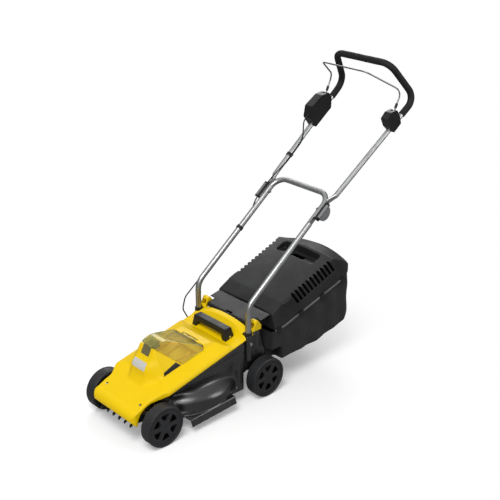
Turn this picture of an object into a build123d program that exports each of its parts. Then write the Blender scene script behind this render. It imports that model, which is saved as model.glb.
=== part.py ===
import math
import os
from build123d import *

# Frame: origin on the ground at mid wheelbase, -Y to the front, +Z up, sizes in mm
# Left is +X and right is -X, as the user behind the handle sees them

# Fits
RUN_GAP = 0.05
SEAT_GAP = 0.3

# Running gear
WHEEL_RADIUS = 75
WHEEL_WIDTH = 44
WHEEL_OUTER_X = 183
AXLE_RADIUS = 5
AXLE_Y = 238
HEIGHT_TRAVEL = 30
HEIGHT_STEPS = 3
RIM_WALL = 9
WEB_RECESS = 3
WEB_THICK = 6
HUB_RADIUS = 17
HUB_FACE = 5
WINDOW_COUNT = 6
WINDOW_INNER = 24
SPOKE_WIDTH = 15
SPACER_RADIUS = 9
WHEEL_INNER_X = WHEEL_OUTER_X - WHEEL_WIDTH
RIM_INNER = WHEEL_RADIUS - RIM_WALL
WINDOW_OUTER = RIM_INNER - 16
AXLE_END_X = WHEEL_OUTER_X - HUB_FACE - SEAT_GAP

# Deck
DECK_WALL = 3.5
BLADE_LENGTH = 330
BLADE_GAP = 6.5
DOME_Y = -27
DOME_RADIUS = BLADE_LENGTH / 2 + BLADE_GAP + DECK_WALL
DOME_BOTTOM = 45
DOME_SHOULDER = 34
DOME_TOP = 135
BODY_HALF = 143.2
BODY_FRONT = -158
BODY_REAR = 150
BODY_CORNER = 40
NOSE_DECK_HALF = 112
NOSE_DECK_FRONT = -308
NOSE_DECK_BOTTOM = 84
NOSE_DECK_TOP = 112
CHUTE_HALF = 108
CHUTE_WALL = 4
CHUTE_END = 212
LIP_OUTER = 196
LIP_FRONT = -131
LIP_LENGTH = 208
LIP_TILT = 3.0
LIP_Z = 50
LIP_THICK = 3
COMB_PITCH = 33
COMB_TEETH = 6
COMB_THICK = 6
FRONT_PLATE_X = 104
REAR_PLATE_X = 126
PLATE_THICK = 6
NOSE_SCREW_X = 96
NOSE_SCREW_Y = -280
NOSE_SCREW_Z = 137.5

# Top cover
COVER_WALL = 2.5
COVER_HALF = 146
COVER_TILT = 12.5
SHOULDER_HALF = 88
SHOULDER_Y = -84
SHOULDER_Z = 217
CROWN = 8
EDGE_Y = -200
EDGE_Z = 158
EDGE_RISE = 0.239
NOSE_HALF = 118
NOSE_FRONT = -331
NOSE_BOTTOM = 77
NOSE_BULGE_Z = 98
NOSE_TOP_Y = -303
NOSE_TOP_Z = 131
NOSE_END_Y = -185
NOSE_END_Z = 187
NOSE_CORNER = 22
ARCH_END_Y = -246
ARCH_END_Z = 141
COVER_REAR = 195
LAP = 2.5
HUMP_TOP_HALF = 39
HUMP_HEIGHT = 88.7
HUMP_FRONT_Y = -222
HUMP_FRONT_Z = 180
HUMP_EDGE_Y = -167
HUMP_EDGE_Z = 288
FACET_Y = -170
FACET_Z = 200
CREST_Y = -125
CREST_Z = 302
LID_REAR = 11
LID_REAR_Z = 256
HUMP_END_Y = 60
HUMP_END_Z = 254
LID_GAP = 0.6
LID_HINGE_GAP = 1.8
LID_WALL = 2.5
LID_PIN_Y = 18
LID_PIN_Z = 252
LID_PIN_RADIUS = 2.5
LID_KNUCKLE = 5.5
LID_KNUCKLE_HALF = 40
LUG_WIDTH = 12
LATCH_HALF = 20
LATCH_BOTTOM = 258
WELL_FRONT = 30
WELL_LOW_Y = 104
WELL_BACK_Y = 150
WELL_REAR = 170
WELL_SLOPE = 0.36
WELL_RIM = 4.5
EAR_INNER = 118
EAR_FRONT = 187
EAR_REAR = 234
EAR_TOP = 304
EAR_BOTTOM = 264
EAR_WALL = 4

# Battery bay
BAY_FLANGE_HALF = 96
BAY_HALF = 74
BAY_FRONT = -66
BAY_BACK = 82
BAY_DEPTH = 20
BAY_DROP = 5.2
BAY_WALL = 2.4
BAY_FLANGE = 9
BAY_APRON = 18

# Carry handle
GRAB_FOOT = 95
GRAB_TOP = 84
GRAB_TOP_Z = 281
GRAB_BAR = 22
GRAB_FRONT = 107
GRAB_REAR = 143

# Drive
MOTOR_RADIUS = 48
MOTOR_HEIGHT = 53
MOTOR_WALL = 3
MOTOR_FLANGE = 60
SHAFT_RADIUS = 6
BEARING_RADIUS = 12
BEARING_WIDTH = 7
BLADE_WIDTH = 46
BLADE_BAR = 3.5
BLADE_Z = 50
BLADE_BOLT = 3.5

# Handle
TUBE_RADIUS = 10.5
TUBE_WALL = 1.5
LEG_X = 137.4
LEG_Y = 176
LEG_FOOT_Z = 188
LEG_BEND_Z = 369
CROSS_Y = 585
CROSS_Z = 686
LEG_BEND_RADIUS = 60
CROSS_RADIUS = 50
SOCKET_WALL = 3.5
SOCKET_BOTTOM = 156
SOCKET_TOP = 258
SOCKET_BOLT_Z = 226
PIVOT_BACK = 70
UPPER_RADIUS = 9.5
UPPER_WALL = 1.4
SEAT_X = 141
BLADE_THICK = 7
UPPER_START_X = 161
UPPER_START = 100
GRIP_BEND = (181, 985.7, 985.6)
GRIP_CORNER = (134.9, 885.9, 1122.3)
GRIP_BEND_RADIUS = 45
GRIP_CORNER_RADIUS = 50
FOAM_RADIUS = 13
FOAM_END_Y = 915
BAIL_RADIUS = 3
BAIL_PIN_X = 163
BAIL_BASE = (173.5, 873, 947)
BAIL_BEND = (175.4, 912, 1025)
BAIL_CORNER = (108.7, 783, 1105)
BAIL_RADII = (5, 30, 30)
CABLE_RADIUS = 2.5
PAD_START = -41
PAD_END = 36
PAD_HALF = 11
LEVER_AXIS_N = 8
LEVER_AXIS_X = 163.2
LEVER_KNUCKLE = 6
LEVER_START = -35
LEVER_END = 23

# Flap and catcher
FLAP_PIN_Y = 206
FLAP_PIN_Z = 280
FLAP_PIN_RADIUS = 3
FLAP_BARREL = 9
FLAP_HALF = 114
FLAP_WIDE = 140
FLAP_END_Y = 282
FLAP_END_Z = 304
FLAP_THICK = 3
CATCHER_WALL = 2.5
FRAME_FRONT = 216
FRAME_THICK = 8
FRAME_HALF = 110
FRAME_BOTTOM = 100
FRAME_TOP = 276
RAIL_X = 163
LOUVRE_COUNT = 11
LOUVRE_START = 382
LOUVRE_PITCH = 18.8
LOUVRE_DEPTH = 8
CREASE_X = 146

# Controls, clips and catcher
BOX_OUTLINE = ((-95, -13), (-95, 42), (-62, 72), (5, 66), (37, 47), (37, 20), (12, -13))
CLAMP_OUTLINE = ((-22, -14), (-30, 26), (-24, 60), (8, 64), (37, 47), (37, 20), (26, -14))
BOX_CABLE = (-165, 50)
BUTTON_X = -188.5
BUTTON_RADIUS = 5
BUTTON_TRAVEL = 4
CLIP_LOW = -183
FRAME_SIDE = 10
FRAME_BAR = 8
# Lid stations: distance back, rail height, crease half width and height, crown height
LID_STATIONS = (
    (285, 248, CREASE_X, 306, 309),
    (335, 254, CREASE_X, 332, 336),
    (601, 333, CREASE_X, 430, 441),
    (660, 354, 150, 405, 433),
    (692, 368, 158, 377, 417),
)
NECK_HALF = 112
NECK_FRONT = 226
NECK_TOP = 286
BAG_HALF = 162
BAG_NECK_HALF = 108
BAG_FRONT = FRAME_FRONT + FRAME_THICK + SEAT_GAP
BAG_WALL = 3
CATCHER_CORNER = 36
RAIL_LAP = 4.4
WHEEL_ROOM_X = 120
WHEEL_ROOM_Y = 322
WHEEL_ROOM_Z = 165


def slant_plane(tilt, y, z):
    """Section plane facing forward, its height axis square to a line that rises to the rear."""
    angle = math.radians(tilt)
    return Plane(origin=(0, y, z), x_dir=(1, 0, 0), z_dir=(0, -math.cos(angle), -math.sin(angle)))


def shoulder_z(y):
    """Height of the cover's shoulder line."""
    return SHOULDER_Z + (y - SHOULDER_Y) * math.tan(math.radians(COVER_TILT))


def edge_z(y):
    """Height of the cover's lower side edge."""
    return EDGE_Z + (y - EDGE_Y) * EDGE_RISE


def save(part, name):
    """Label a finished piece and write it as one file."""
    part.label = name
    export_step(part, f"parts/{name}.step")


os.makedirs("parts", exist_ok=True)


# Wheels and axles
def make_wheel(side, y):
    face = Plane(origin=(side * WHEEL_OUTER_X, y, WHEEL_RADIUS), x_dir=(0, 1, 0), z_dir=(side, 0, 0))
    with BuildPart() as wheel:
        with BuildSketch(face):
            Circle(WHEEL_RADIUS)
            Circle(RIM_INNER, mode=Mode.SUBTRACT)
        extrude(amount=-WHEEL_WIDTH)
        rim_edges = wheel.edges().filter_by(GeomType.CIRCLE).sort_by(SortBy.RADIUS)[-2:]
        chamfer(rim_edges, 2.5)
        with BuildSketch(face.offset(-WEB_RECESS)):
            Circle(RIM_INNER + 1)
        extrude(amount=-WEB_THICK)
        with BuildSketch(face.offset(-WEB_RECESS)):
            Circle(HUB_RADIUS)
        extrude(amount=-(WHEEL_WIDTH - WEB_RECESS))
        with BuildSketch(face) as windows:
            Circle(WINDOW_OUTER)
            Circle(WINDOW_INNER, mode=Mode.SUBTRACT)
            with PolarLocations((WINDOW_INNER + WINDOW_OUTER) / 2, WINDOW_COUNT):
                Rectangle(WINDOW_OUTER, SPOKE_WIDTH, mode=Mode.SUBTRACT)
            fillet(windows.vertices(), 3)
        extrude(amount=-(WEB_RECESS + WEB_THICK), mode=Mode.SUBTRACT)
        with BuildSketch(face.offset(-HUB_FACE)):
            Circle(AXLE_RADIUS + RUN_GAP)
        extrude(amount=-WHEEL_WIDTH, mode=Mode.SUBTRACT)
    return wheel.part


for end, y_axle in (("front", -AXLE_Y), ("rear", AXLE_Y)):
    for hand, side in (("right", -1), ("left", 1)):
        save(make_wheel(side, y_axle), f"wheel_{end}_{hand}")
    axle_plane = Plane(origin=(0, y_axle, WHEEL_RADIUS), x_dir=(0, 1, 0), z_dir=(1, 0, 0))
    with BuildPart() as axle:
        with BuildSketch(axle_plane):
            Circle(AXLE_RADIUS)
        extrude(amount=AXLE_END_X, both=True)
        chamfer(axle.edges().filter_by(GeomType.CIRCLE), 0.8)
    save(axle.part, f"{end}_axle")
    plate_outer = (FRONT_PLATE_X if end == "front" else REAR_PLATE_X) + PLATE_THICK
    spacer_length = WHEEL_INNER_X - plate_outer - 2 * SEAT_GAP
    with BuildPart() as spacers:
        for side in (-1, 1):
            with BuildSketch(axle_plane.offset(side * (plate_outer + SEAT_GAP))):
                Circle(SPACER_RADIUS)
                Circle(AXLE_RADIUS + RUN_GAP, mode=Mode.SUBTRACT)
            extrude(amount=side * spacer_length)
    save(spacers.part, f"{end}_axle_spacers")


# Top cover, with the hump that the battery lid closes
def cover_base(inset, drop):
    """Shoulders and nose; inset and drop give the inner face of the shell."""
    half = COVER_HALF - inset
    low_front = NOSE_BOTTOM - drop
    side_top = -26
    round_in = half - 18
    round_top = -11 - inset
    with BuildPart() as form:
        with BuildSketch(slant_plane(COVER_TILT, SHOULDER_Y, SHOULDER_Z)):
            with BuildLine():
                Line((-half, -200), (half, -200))
                Line((half, -200), (half, side_top))
                ThreePointArc((half, side_top), (half - 5, -16 - inset * 0.6), (round_in, round_top))
                Line((round_in, round_top), (SHOULDER_HALF, -inset))
                ThreePointArc((SHOULDER_HALF, -inset), (0, CROWN - inset), (-SHOULDER_HALF, -inset))
                Line((-SHOULDER_HALF, -inset), (-round_in, round_top))
                ThreePointArc((-round_in, round_top), (5 - half, -16 - inset * 0.6), (-half, side_top))
                Line((-half, side_top), (-half, -200))
            make_face()
        extrude(amount=320, both=True)
        with BuildSketch(Plane.YZ):
            with BuildLine():
                Line((NOSE_FRONT + 17 + inset, low_front), (NOSE_FRONT + inset, NOSE_BULGE_Z))
                ThreePointArc(
                    (NOSE_FRONT + inset, NOSE_BULGE_Z),
                    (NOSE_FRONT + 7 + inset, NOSE_BULGE_Z + 21 - inset * 0.6),
                    (NOSE_TOP_Y, NOSE_TOP_Z - inset),
                )
                Polyline(
                    (NOSE_TOP_Y, NOSE_TOP_Z - inset),
                    (NOSE_END_Y + inset, NOSE_END_Z - inset),
                    (NOSE_END_Y + 35 + inset, 360),
                    (COVER_REAR - inset, 360),
                    (COVER_REAR - inset, edge_z(COVER_REAR) - drop),
                    (EDGE_Y, EDGE_Z - drop),
                    (ARCH_END_Y, ARCH_END_Z - drop),
                )
                ThreePointArc(
                    (ARCH_END_Y, ARCH_END_Z - drop),
                    (ARCH_END_Y - 38, ARCH_END_Z - 15 - drop),
                    (NOSE_FRONT + 24, low_front),
                )
                Line((NOSE_FRONT + 24, low_front), (NOSE_FRONT + 17 + inset, low_front))
            make_face()
        extrude(amount=200, both=True, mode=Mode.INTERSECT)
        with BuildSketch(Plane.XY) as plan:
            with BuildLine():
                Polyline(
                    (0, NOSE_FRONT + inset),
                    (NOSE_HALF - inset, NOSE_FRONT + inset),
                    (NOSE_HALF - inset, ARCH_END_Y),
                    (half, EDGE_Y + 7),
                    (half, COVER_REAR),
                    (0, COVER_REAR),
                )
                mirror(about=Plane.YZ)
            make_face()
            corners = plan.vertices().filter_by_position(Axis.Y, NOSE_FRONT - 1, EDGE_Y + 10)
            fillet(corners.filter_by(lambda v: abs(v.X) > 1), NOSE_CORNER - inset)
        extrude(amount=400, mode=Mode.INTERSECT)
    return form.part


def hump_form(inset):
    """Faceted hump: sloped flanks, a front column and a crest that falls to the rear."""
    rise = HUMP_HEIGHT * math.cos(math.radians(COVER_TILT))
    column_low = Vector(HUMP_TOP_HALF, HUMP_FRONT_Y, HUMP_FRONT_Z)
    column_high = Vector(HUMP_TOP_HALF, HUMP_EDGE_Y, HUMP_EDGE_Z)
    flank_foot = Vector(SHOULDER_HALF, FACET_Y, FACET_Z)
    facet = (flank_foot - column_low).cross(column_high - column_low).normalized()
    with BuildPart() as form:
        with BuildSketch(slant_plane(COVER_TILT, SHOULDER_Y, SHOULDER_Z)):
            with BuildLine():
                Polyline(
                    (inset - SHOULDER_HALF, -60),
                    (SHOULDER_HALF - inset, -60),
                    (SHOULDER_HALF - inset, 0),
                    (HUMP_TOP_HALF - inset, rise),
                    (HUMP_TOP_HALF - inset, rise + 60),
                    (inset - HUMP_TOP_HALF, rise + 60),
                    (inset - HUMP_TOP_HALF, rise),
                    (inset - SHOULDER_HALF, 0),
                    close=True,
                )
            make_face()
        extrude(amount=200, both=True)
        with BuildSketch(Plane.YZ):
            with BuildLine():
                Polyline(
                    (HUMP_END_Y, HUMP_END_Z - inset),
                    (HUMP_END_Y, HUMP_FRONT_Z - 40),
                    (HUMP_FRONT_Y - 20 + inset, HUMP_FRONT_Z - 40),
                    (HUMP_FRONT_Y + inset, HUMP_FRONT_Z),
                    (HUMP_EDGE_Y + inset, HUMP_EDGE_Z - inset),
                    (CREST_Y - 20, CREST_Z - 4 - inset),
                )
                ThreePointArc(
                    (CREST_Y - 20, CREST_Z - 4 - inset),
                    (CREST_Y, CREST_Z - inset),
                    (CREST_Y + 25, CREST_Z - 3 - inset),
                )
                Polyline(
                    (CREST_Y + 25, CREST_Z - 3 - inset),
                    (LID_REAR, LID_REAR_Z - inset),
                    (HUMP_END_Y, HUMP_END_Z - inset),
                )
            make_face()
        extrude(amount=120, both=True, mode=Mode.INTERSECT)
        for side in (-1, 1):
            outward = Vector(side * abs(facet.X), -abs(facet.Y), abs(facet.Z))
            start = Vector(side * column_low.X, column_low.Y, column_low.Z) - outward * inset
            split(bisect_by=Plane(origin=start, z_dir=outward), keep=Keep.BOTTOM)
    return form.part


def well_form(grow):
    """Saddle below the carry handle, open to both sides; grow gives the underside of its floor."""
    low = edge_z(WELL_LOW_Y) + WELL_RIM - grow
    back = edge_z(WELL_BACK_Y) + WELL_RIM - grow
    with BuildPart() as form:
        with BuildSketch(Plane.YZ):
            with BuildLine():
                Polyline(
                    (WELL_FRONT, 360),
                    (WELL_FRONT, low + (WELL_LOW_Y - WELL_FRONT) * WELL_SLOPE),
                    (WELL_LOW_Y, low),
                    (WELL_BACK_Y + grow * 0.5, back),
                    (WELL_REAR + grow, shoulder_z(WELL_REAR)),
                    (WELL_REAR + 40 + grow, 360),
                    close=True,
                )
            make_face()
        extrude(amount=COVER_HALF + 20, both=True)
    return form.part


def lid_prism(gap, rear):
    """Space above the lid's seam, seen from the side."""
    with BuildPart() as form:
        with BuildSketch(Plane.YZ):
            with BuildLine():
                Polyline(
                    (HUMP_EDGE_Y - gap, HUMP_EDGE_Z - gap),
                    (SHOULDER_Y, SHOULDER_Z - gap),
                    (rear, shoulder_z(rear) - gap),
                    (rear, 360),
                    (HUMP_EDGE_Y - gap, 360),
                    close=True,
                )
            make_face()
        extrude(amount=SHOULDER_HALF, both=True)
    return form.part


lid_axis_plane = Plane(origin=(0, LID_PIN_Y, LID_PIN_Z), x_dir=(0, 1, 0), z_dir=(1, 0, 0))
flap_axis_plane = Plane(origin=(0, FLAP_PIN_Y, FLAP_PIN_Z), x_dir=(0, 1, 0), z_dir=(1, 0, 0))
lug_start = LID_KNUCKLE_HALF + LID_GAP

with BuildPart() as cover_inside:
    add(cover_base(COVER_WALL, 40))
    add(hump_form(COVER_WALL))
    add(well_form(COVER_WALL), mode=Mode.SUBTRACT)

with BuildPart() as lid_space:
    add(hump_form(-1))
    add(lid_prism(0, LID_REAR + LID_HINGE_GAP), mode=Mode.INTERSECT)

with BuildPart() as top_cover:
    add(cover_base(0, 0))
    add(hump_form(0))
    add(well_form(0), mode=Mode.SUBTRACT)
    add(cover_inside.part, mode=Mode.SUBTRACT)
    add(lid_space.part, mode=Mode.SUBTRACT)
    for side in (-1, 1):
        with BuildSketch(Plane.YZ.offset(side * lug_start)):
            with BuildLine():
                Polyline(
                    (LID_REAR + LID_HINGE_GAP, LID_REAR_Z - 1),
                    (LID_REAR + LID_HINGE_GAP, LID_PIN_Z - 8),
                    (LID_PIN_Y + 7, LID_PIN_Z - 8),
                    (LID_PIN_Y + 7, LID_REAR_Z - 1),
                    close=True,
                )
            make_face()
        extrude(amount=side * LUG_WIDTH)
    with BuildSketch(Plane.XY.offset(LID_PIN_Z - 12)):
        with Locations((0, LID_PIN_Y)):
            Rectangle(2 * lug_start, 14)
    extrude(amount=40, mode=Mode.SUBTRACT)
    with BuildSketch(lid_axis_plane):
        Circle(LID_PIN_RADIUS + RUN_GAP)
    extrude(amount=lug_start + LUG_WIDTH - 1, both=True, mode=Mode.SUBTRACT)
    with BuildSketch(Plane.XZ.offset(-HUMP_EDGE_Y - 30)):
        with Locations((0, LATCH_BOTTOM + 25 - LID_GAP)):
            Rectangle(2 * (LATCH_HALF + LID_GAP), 50)
    extrude(amount=60, mode=Mode.SUBTRACT)
    for side in (-1, 1):
        with BuildSketch(Plane.YZ.offset(side * EAR_INNER)):
            with BuildLine():
                Polyline(
                    (EAR_FRONT, EAR_BOTTOM),
                    (EAR_REAR, EAR_BOTTOM),
                    (EAR_REAR, EAR_TOP - 22),
                    (EAR_REAR - 16, EAR_TOP),
                    (EAR_FRONT + 20, EAR_TOP),
                    (EAR_FRONT, shoulder_z(EAR_FRONT) - 10),
                    close=True,
                )
            make_face()
        extrude(amount=side * (COVER_HALF - EAR_INNER))
        with BuildSketch(Plane.YZ.offset(side * (EAR_INNER + EAR_WALL))):
            with BuildLine():
                Polyline(
                    (COVER_REAR, EAR_BOTTOM - 1),
                    (EAR_REAR - EAR_WALL, EAR_BOTTOM - 1),
                    (EAR_REAR - EAR_WALL, EAR_TOP - 23),
                    (EAR_REAR - EAR_WALL - 14, EAR_TOP - EAR_WALL),
                    (COVER_REAR + 13, EAR_TOP - EAR_WALL),
                    (COVER_REAR, EAR_TOP - 18),
                    close=True,
                )
            make_face()
        extrude(amount=side * (COVER_HALF - EAR_INNER - 2 * EAR_WALL), mode=Mode.SUBTRACT)
        with BuildSketch(flap_axis_plane.offset(side * (EAR_INNER - 1))):
            Circle(FLAP_PIN_RADIUS + RUN_GAP)
        extrude(amount=side * (EAR_WALL + 2), mode=Mode.SUBTRACT)
        with BuildSketch(Plane.XY.offset(SOCKET_BOTTOM)):
            with Locations((side * (LEG_X + 20), LEG_Y)):
                Rectangle(72, 2 * (TUBE_RADIUS + SOCKET_WALL) + 1)
        extrude(amount=200, mode=Mode.SUBTRACT)
        with BuildSketch(Plane.XY.offset(NOSE_SCREW_Z - 4)):
            with Locations((side * NOSE_SCREW_X, NOSE_SCREW_Y)):
                Circle(6.5)
        extrude(amount=4.5)
        with BuildSketch(Plane.XY.offset(NOSE_SCREW_Z)):
            with Locations((side * NOSE_SCREW_X, NOSE_SCREW_Y)):
                Circle(4.6)
        extrude(amount=20, mode=Mode.SUBTRACT)
        with BuildSketch(Plane.XY.offset(NOSE_SCREW_Z - 10)):
            with Locations((side * NOSE_SCREW_X, NOSE_SCREW_Y)):
                Circle(2.1)
        extrude(amount=20, mode=Mode.SUBTRACT)
save(top_cover.part, "top_cover")

with BuildPart() as cover_screws:
    for side in (-1, 1):
        with BuildSketch(Plane.XY.offset(NOSE_SCREW_Z)):
            with Locations((side * NOSE_SCREW_X, NOSE_SCREW_Y)):
                Circle(4.2)
        extrude(amount=2.6)
        with BuildSketch(Plane.XY.offset(NOSE_SCREW_Z)):
            with Locations((side * NOSE_SCREW_X, NOSE_SCREW_Y)):
                Circle(2)
        extrude(amount=-20)
save(cover_screws.part, "cover_screws")

# Battery lid, its latch and its hinge pin
with BuildPart() as battery_lid:
    add(hump_form(0))
    add(hump_form(LID_WALL), mode=Mode.SUBTRACT)
    add(lid_prism(-LID_GAP, LID_REAR), mode=Mode.INTERSECT)
    with BuildSketch(lid_axis_plane):
        Circle(LID_KNUCKLE)
    extrude(amount=LID_KNUCKLE_HALF, both=True)
    with BuildSketch(Plane.YZ):
        with BuildLine():
            Polyline(
                (LID_REAR - 4, LID_REAR_Z - LID_WALL),
                (LID_PIN_Y, LID_PIN_Z + LID_KNUCKLE - LID_WALL),
                (LID_PIN_Y, LID_PIN_Z + LID_KNUCKLE),
                (LID_REAR - 2, LID_REAR_Z),
                close=True,
            )
        make_face()
    extrude(amount=LID_KNUCKLE_HALF, both=True)
    with BuildSketch(lid_axis_plane):
        Circle(LID_PIN_RADIUS + RUN_GAP)
    extrude(amount=LID_KNUCKLE_HALF, both=True, mode=Mode.SUBTRACT)
save(battery_lid.part, "battery_lid")

with BuildPart() as lid_hinge_pin:
    with BuildSketch(lid_axis_plane):
        Circle(LID_PIN_RADIUS)
    extrude(amount=lug_start + LUG_WIDTH - 1.5, both=True)
save(lid_hinge_pin.part, "lid_hinge_pin")

column_slope = (HUMP_EDGE_Y - HUMP_FRONT_Y) / (HUMP_EDGE_Z - HUMP_FRONT_Z)
latch_front = HUMP_EDGE_Y - (HUMP_EDGE_Z - LATCH_BOTTOM) * column_slope
with BuildPart() as lid_latch:
    with BuildSketch(Plane.YZ):
        with BuildLine():
            Polyline(
                (latch_front, LATCH_BOTTOM),
                (HUMP_EDGE_Y - 0.6, HUMP_EDGE_Z - 1.1),
                (HUMP_EDGE_Y + 4, HUMP_EDGE_Z - 2.4),
                (CREST_Y - 5, CREST_Z - 4.5),
                (CREST_Y - 5, CREST_Z - 22),
                (HUMP_EDGE_Y + 7, HUMP_EDGE_Z - 16),
                (latch_front + 5, LATCH_BOTTOM),
                close=True,
            )
        make_face()
    extrude(amount=LATCH_HALF, both=True)
save(lid_latch.part, "lid_latch")

# Battery bay below the lid
bay_plane = Plane(
    origin=(0, SHOULDER_Y, SHOULDER_Z),
    x_dir=(1, 0, 0),
    z_dir=(0, -math.sin(math.radians(COVER_TILT)), math.cos(math.radians(COVER_TILT))),
)
bay_mid = (BAY_FRONT + BAY_BACK) / 2
bay_length = BAY_BACK - BAY_FRONT
with BuildPart() as battery_bay:
    with BuildSketch(bay_plane.offset(-BAY_DROP)):
        with Locations((0, bay_mid + BAY_APRON / 2)):
            Rectangle(2 * BAY_FLANGE_HALF, bay_length + 2 * BAY_FLANGE + BAY_APRON)
    extrude(amount=-BAY_WALL)
    with BuildSketch(bay_plane.offset(-BAY_DROP)):
        with Locations((0, bay_mid)):
            Rectangle(2 * BAY_HALF, bay_length)
    extrude(amount=-BAY_DEPTH)
    with BuildSketch(bay_plane.offset(-BAY_DROP)):
        with Locations((0, bay_mid)):
            Rectangle(2 * (BAY_HALF - BAY_WALL), bay_length - 2 * BAY_WALL)
    extrude(amount=BAY_WALL - BAY_DEPTH, mode=Mode.SUBTRACT)
    with BuildSketch(bay_plane.offset(BAY_WALL - BAY_DROP - BAY_DEPTH)):
        with Locations((-32, bay_mid + 10), (32, bay_mid + 10)):
            Rectangle(6, bay_length - 40)
    extrude(amount=10)
save(battery_bay.part, "battery_bay")

with BuildPart() as terminal_block:
    with BuildSketch(bay_plane.offset(BAY_WALL - BAY_DROP - BAY_DEPTH)):
        with Locations((0, BAY_FRONT + 16)):
            Rectangle(48, 18)
    extrude(amount=26)
    with BuildSketch(bay_plane.offset(BAY_WALL - BAY_DROP - BAY_DEPTH + 10)):
        with Locations([(x, BAY_FRONT + 26) for x in (-15, -5, 5, 15)]):
            Rectangle(2, 10)
    extrude(amount=10)
save(terminal_block.part, "terminal_block")

# Carry handle in the saddle
saddle_low = edge_z(WELL_LOW_Y) + WELL_RIM
saddle_rise = (edge_z(WELL_BACK_Y) - edge_z(WELL_LOW_Y)) / (WELL_BACK_Y - WELL_LOW_Y)
with BuildPart() as carry_handle:
    with BuildSketch(Plane.XZ):
        with BuildLine():
            Polyline(
                (-GRAB_FOOT, saddle_low),
                (-GRAB_TOP, GRAB_TOP_Z),
                (GRAB_TOP, GRAB_TOP_Z),
                (GRAB_FOOT, saddle_low),
                (GRAB_FOOT - GRAB_BAR, saddle_low),
                (GRAB_TOP - GRAB_BAR + 4, GRAB_TOP_Z - GRAB_BAR),
                (GRAB_BAR - GRAB_TOP - 4, GRAB_TOP_Z - GRAB_BAR),
                (GRAB_BAR - GRAB_FOOT, saddle_low),
                close=True,
            )
        make_face()
    extrude(amount=200, both=True)
    with BuildSketch(Plane.YZ) as side_view:
        with BuildLine():
            Polyline(
                (GRAB_FRONT, saddle_low + (GRAB_FRONT - WELL_LOW_Y) * saddle_rise + 0.1),
                (GRAB_FRONT + 3, GRAB_TOP_Z),
                (GRAB_REAR, GRAB_TOP_Z),
                (WELL_BACK_Y - 1, saddle_low + (WELL_BACK_Y - 1 - WELL_LOW_Y) * saddle_rise + 0.1),
                close=True,
            )
        make_face()
    extrude(amount=120, both=True, mode=Mode.INTERSECT)
    top_edges = carry_handle.faces().sort_by(Axis.Z)[-1].edges()
    fillet(top_edges, 3)
    with BuildSketch(Plane.YZ):
        with Locations((GRAB_FRONT + 21, saddle_low + 15)):
            Circle(2.6)
    extrude(amount=GRAB_FOOT + 5, both=True, mode=Mode.SUBTRACT)
save(carry_handle.part, "carry_handle")

with BuildPart() as carry_handle_bolts:
    for side in (-1, 1):
        with BuildSketch(Plane.YZ.offset(side * (GRAB_FOOT - 2.4))):
            with Locations((GRAB_FRONT + 21, saddle_low + 15)):
                Circle(4.5)
        extrude(amount=side * 2.6)
        with BuildSketch(Plane.YZ.offset(side * (GRAB_FOOT - 2.4))):
            with Locations((GRAB_FRONT + 21, saddle_low + 15)):
                Circle(2.5)
        extrude(amount=side * -18)
save(carry_handle_bolts.part, "carry_handle_bolts")


# Deck with the blade dome, the outlet, the axle plates and the tube sockets
dome_axis = Axis((0, DOME_Y, 0), (0, 0, 1))
dome_plane = Plane(origin=(0, DOME_Y, 0), x_dir=(1, 0, 0), z_dir=(0, -1, 0))
dome_flat = DOME_RADIUS - DOME_SHOULDER
web_mid_x = (CHUTE_HALF + CHUTE_WALL + REAR_PLATE_X) / 2
web_width = REAR_PLATE_X - CHUTE_HALF - CHUTE_WALL + 2
rib_x = REAR_PLATE_X + PLATE_THICK
socket_radius = TUBE_RADIUS + SOCKET_WALL


def dome_form(inset, bottom):
    """Blade dome turned about the motor axis."""
    radius = DOME_RADIUS - inset
    with BuildPart() as form:
        with BuildSketch(dome_plane):
            with BuildLine():
                Polyline((0, bottom), (radius, bottom), (radius, DOME_TOP - DOME_SHOULDER))
                CenterArc((dome_flat, DOME_TOP - DOME_SHOULDER), DOME_SHOULDER - inset, 0, 90)
                Polyline((dome_flat, DOME_TOP - inset), (0, DOME_TOP - inset), (0, bottom))
            make_face()
        revolve(axis=dome_axis)
    return form.part


def chute_form(grow):
    """Grass duct from the dome to the catcher; grow gives the outside of its walls."""
    end = CHUTE_END + CHUTE_WALL - grow
    with BuildPart() as form:
        with BuildSketch(Plane.YZ):
            with BuildLine():
                Polyline(
                    (DOME_Y + 97, 70 - grow),
                    (BODY_REAR - 10, 70 - grow),
                    (end, 108 - grow),
                    (end, 246 + grow),
                    (BODY_REAR - grow * 0.6, 200 + grow),
                    (DOME_Y + 127 - grow, 128 + grow),
                    (DOME_Y + 97, 128 + grow),
                    close=True,
                )
            make_face()
        extrude(amount=CHUTE_HALF + grow, both=True)
    return form.part


with BuildPart() as deck_pockets:
    with BuildSketch(Plane.XY.offset(DOME_BOTTOM - 10)) as pocket_plan:
        with Locations((0, (BODY_FRONT + BODY_REAR) / 2)):
            Rectangle(2 * (BODY_HALF - DECK_WALL), BODY_REAR - BODY_FRONT - 2 * DECK_WALL)
        fillet(pocket_plan.vertices().group_by(Axis.Y)[0], BODY_CORNER - DECK_WALL)
    extrude(amount=DOME_TOP - DECK_WALL - DOME_BOTTOM + 10)
    add(dome_form(0, 0), mode=Mode.SUBTRACT)
    add(chute_form(CHUTE_WALL), mode=Mode.SUBTRACT)

with BuildPart() as deck_top_space:
    with BuildSketch(Plane.XY.offset(DOME_TOP)) as top_plan:
        with Locations((0, (BODY_FRONT + BODY_REAR) / 2)):
            Rectangle(2 * (BODY_HALF - DECK_WALL), BODY_REAR - BODY_FRONT - 2 * DECK_WALL)
        fillet(top_plan.vertices().group_by(Axis.Y)[0], BODY_CORNER - DECK_WALL)
    extrude(amount=200)
    add(chute_form(CHUTE_WALL), mode=Mode.SUBTRACT)

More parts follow.
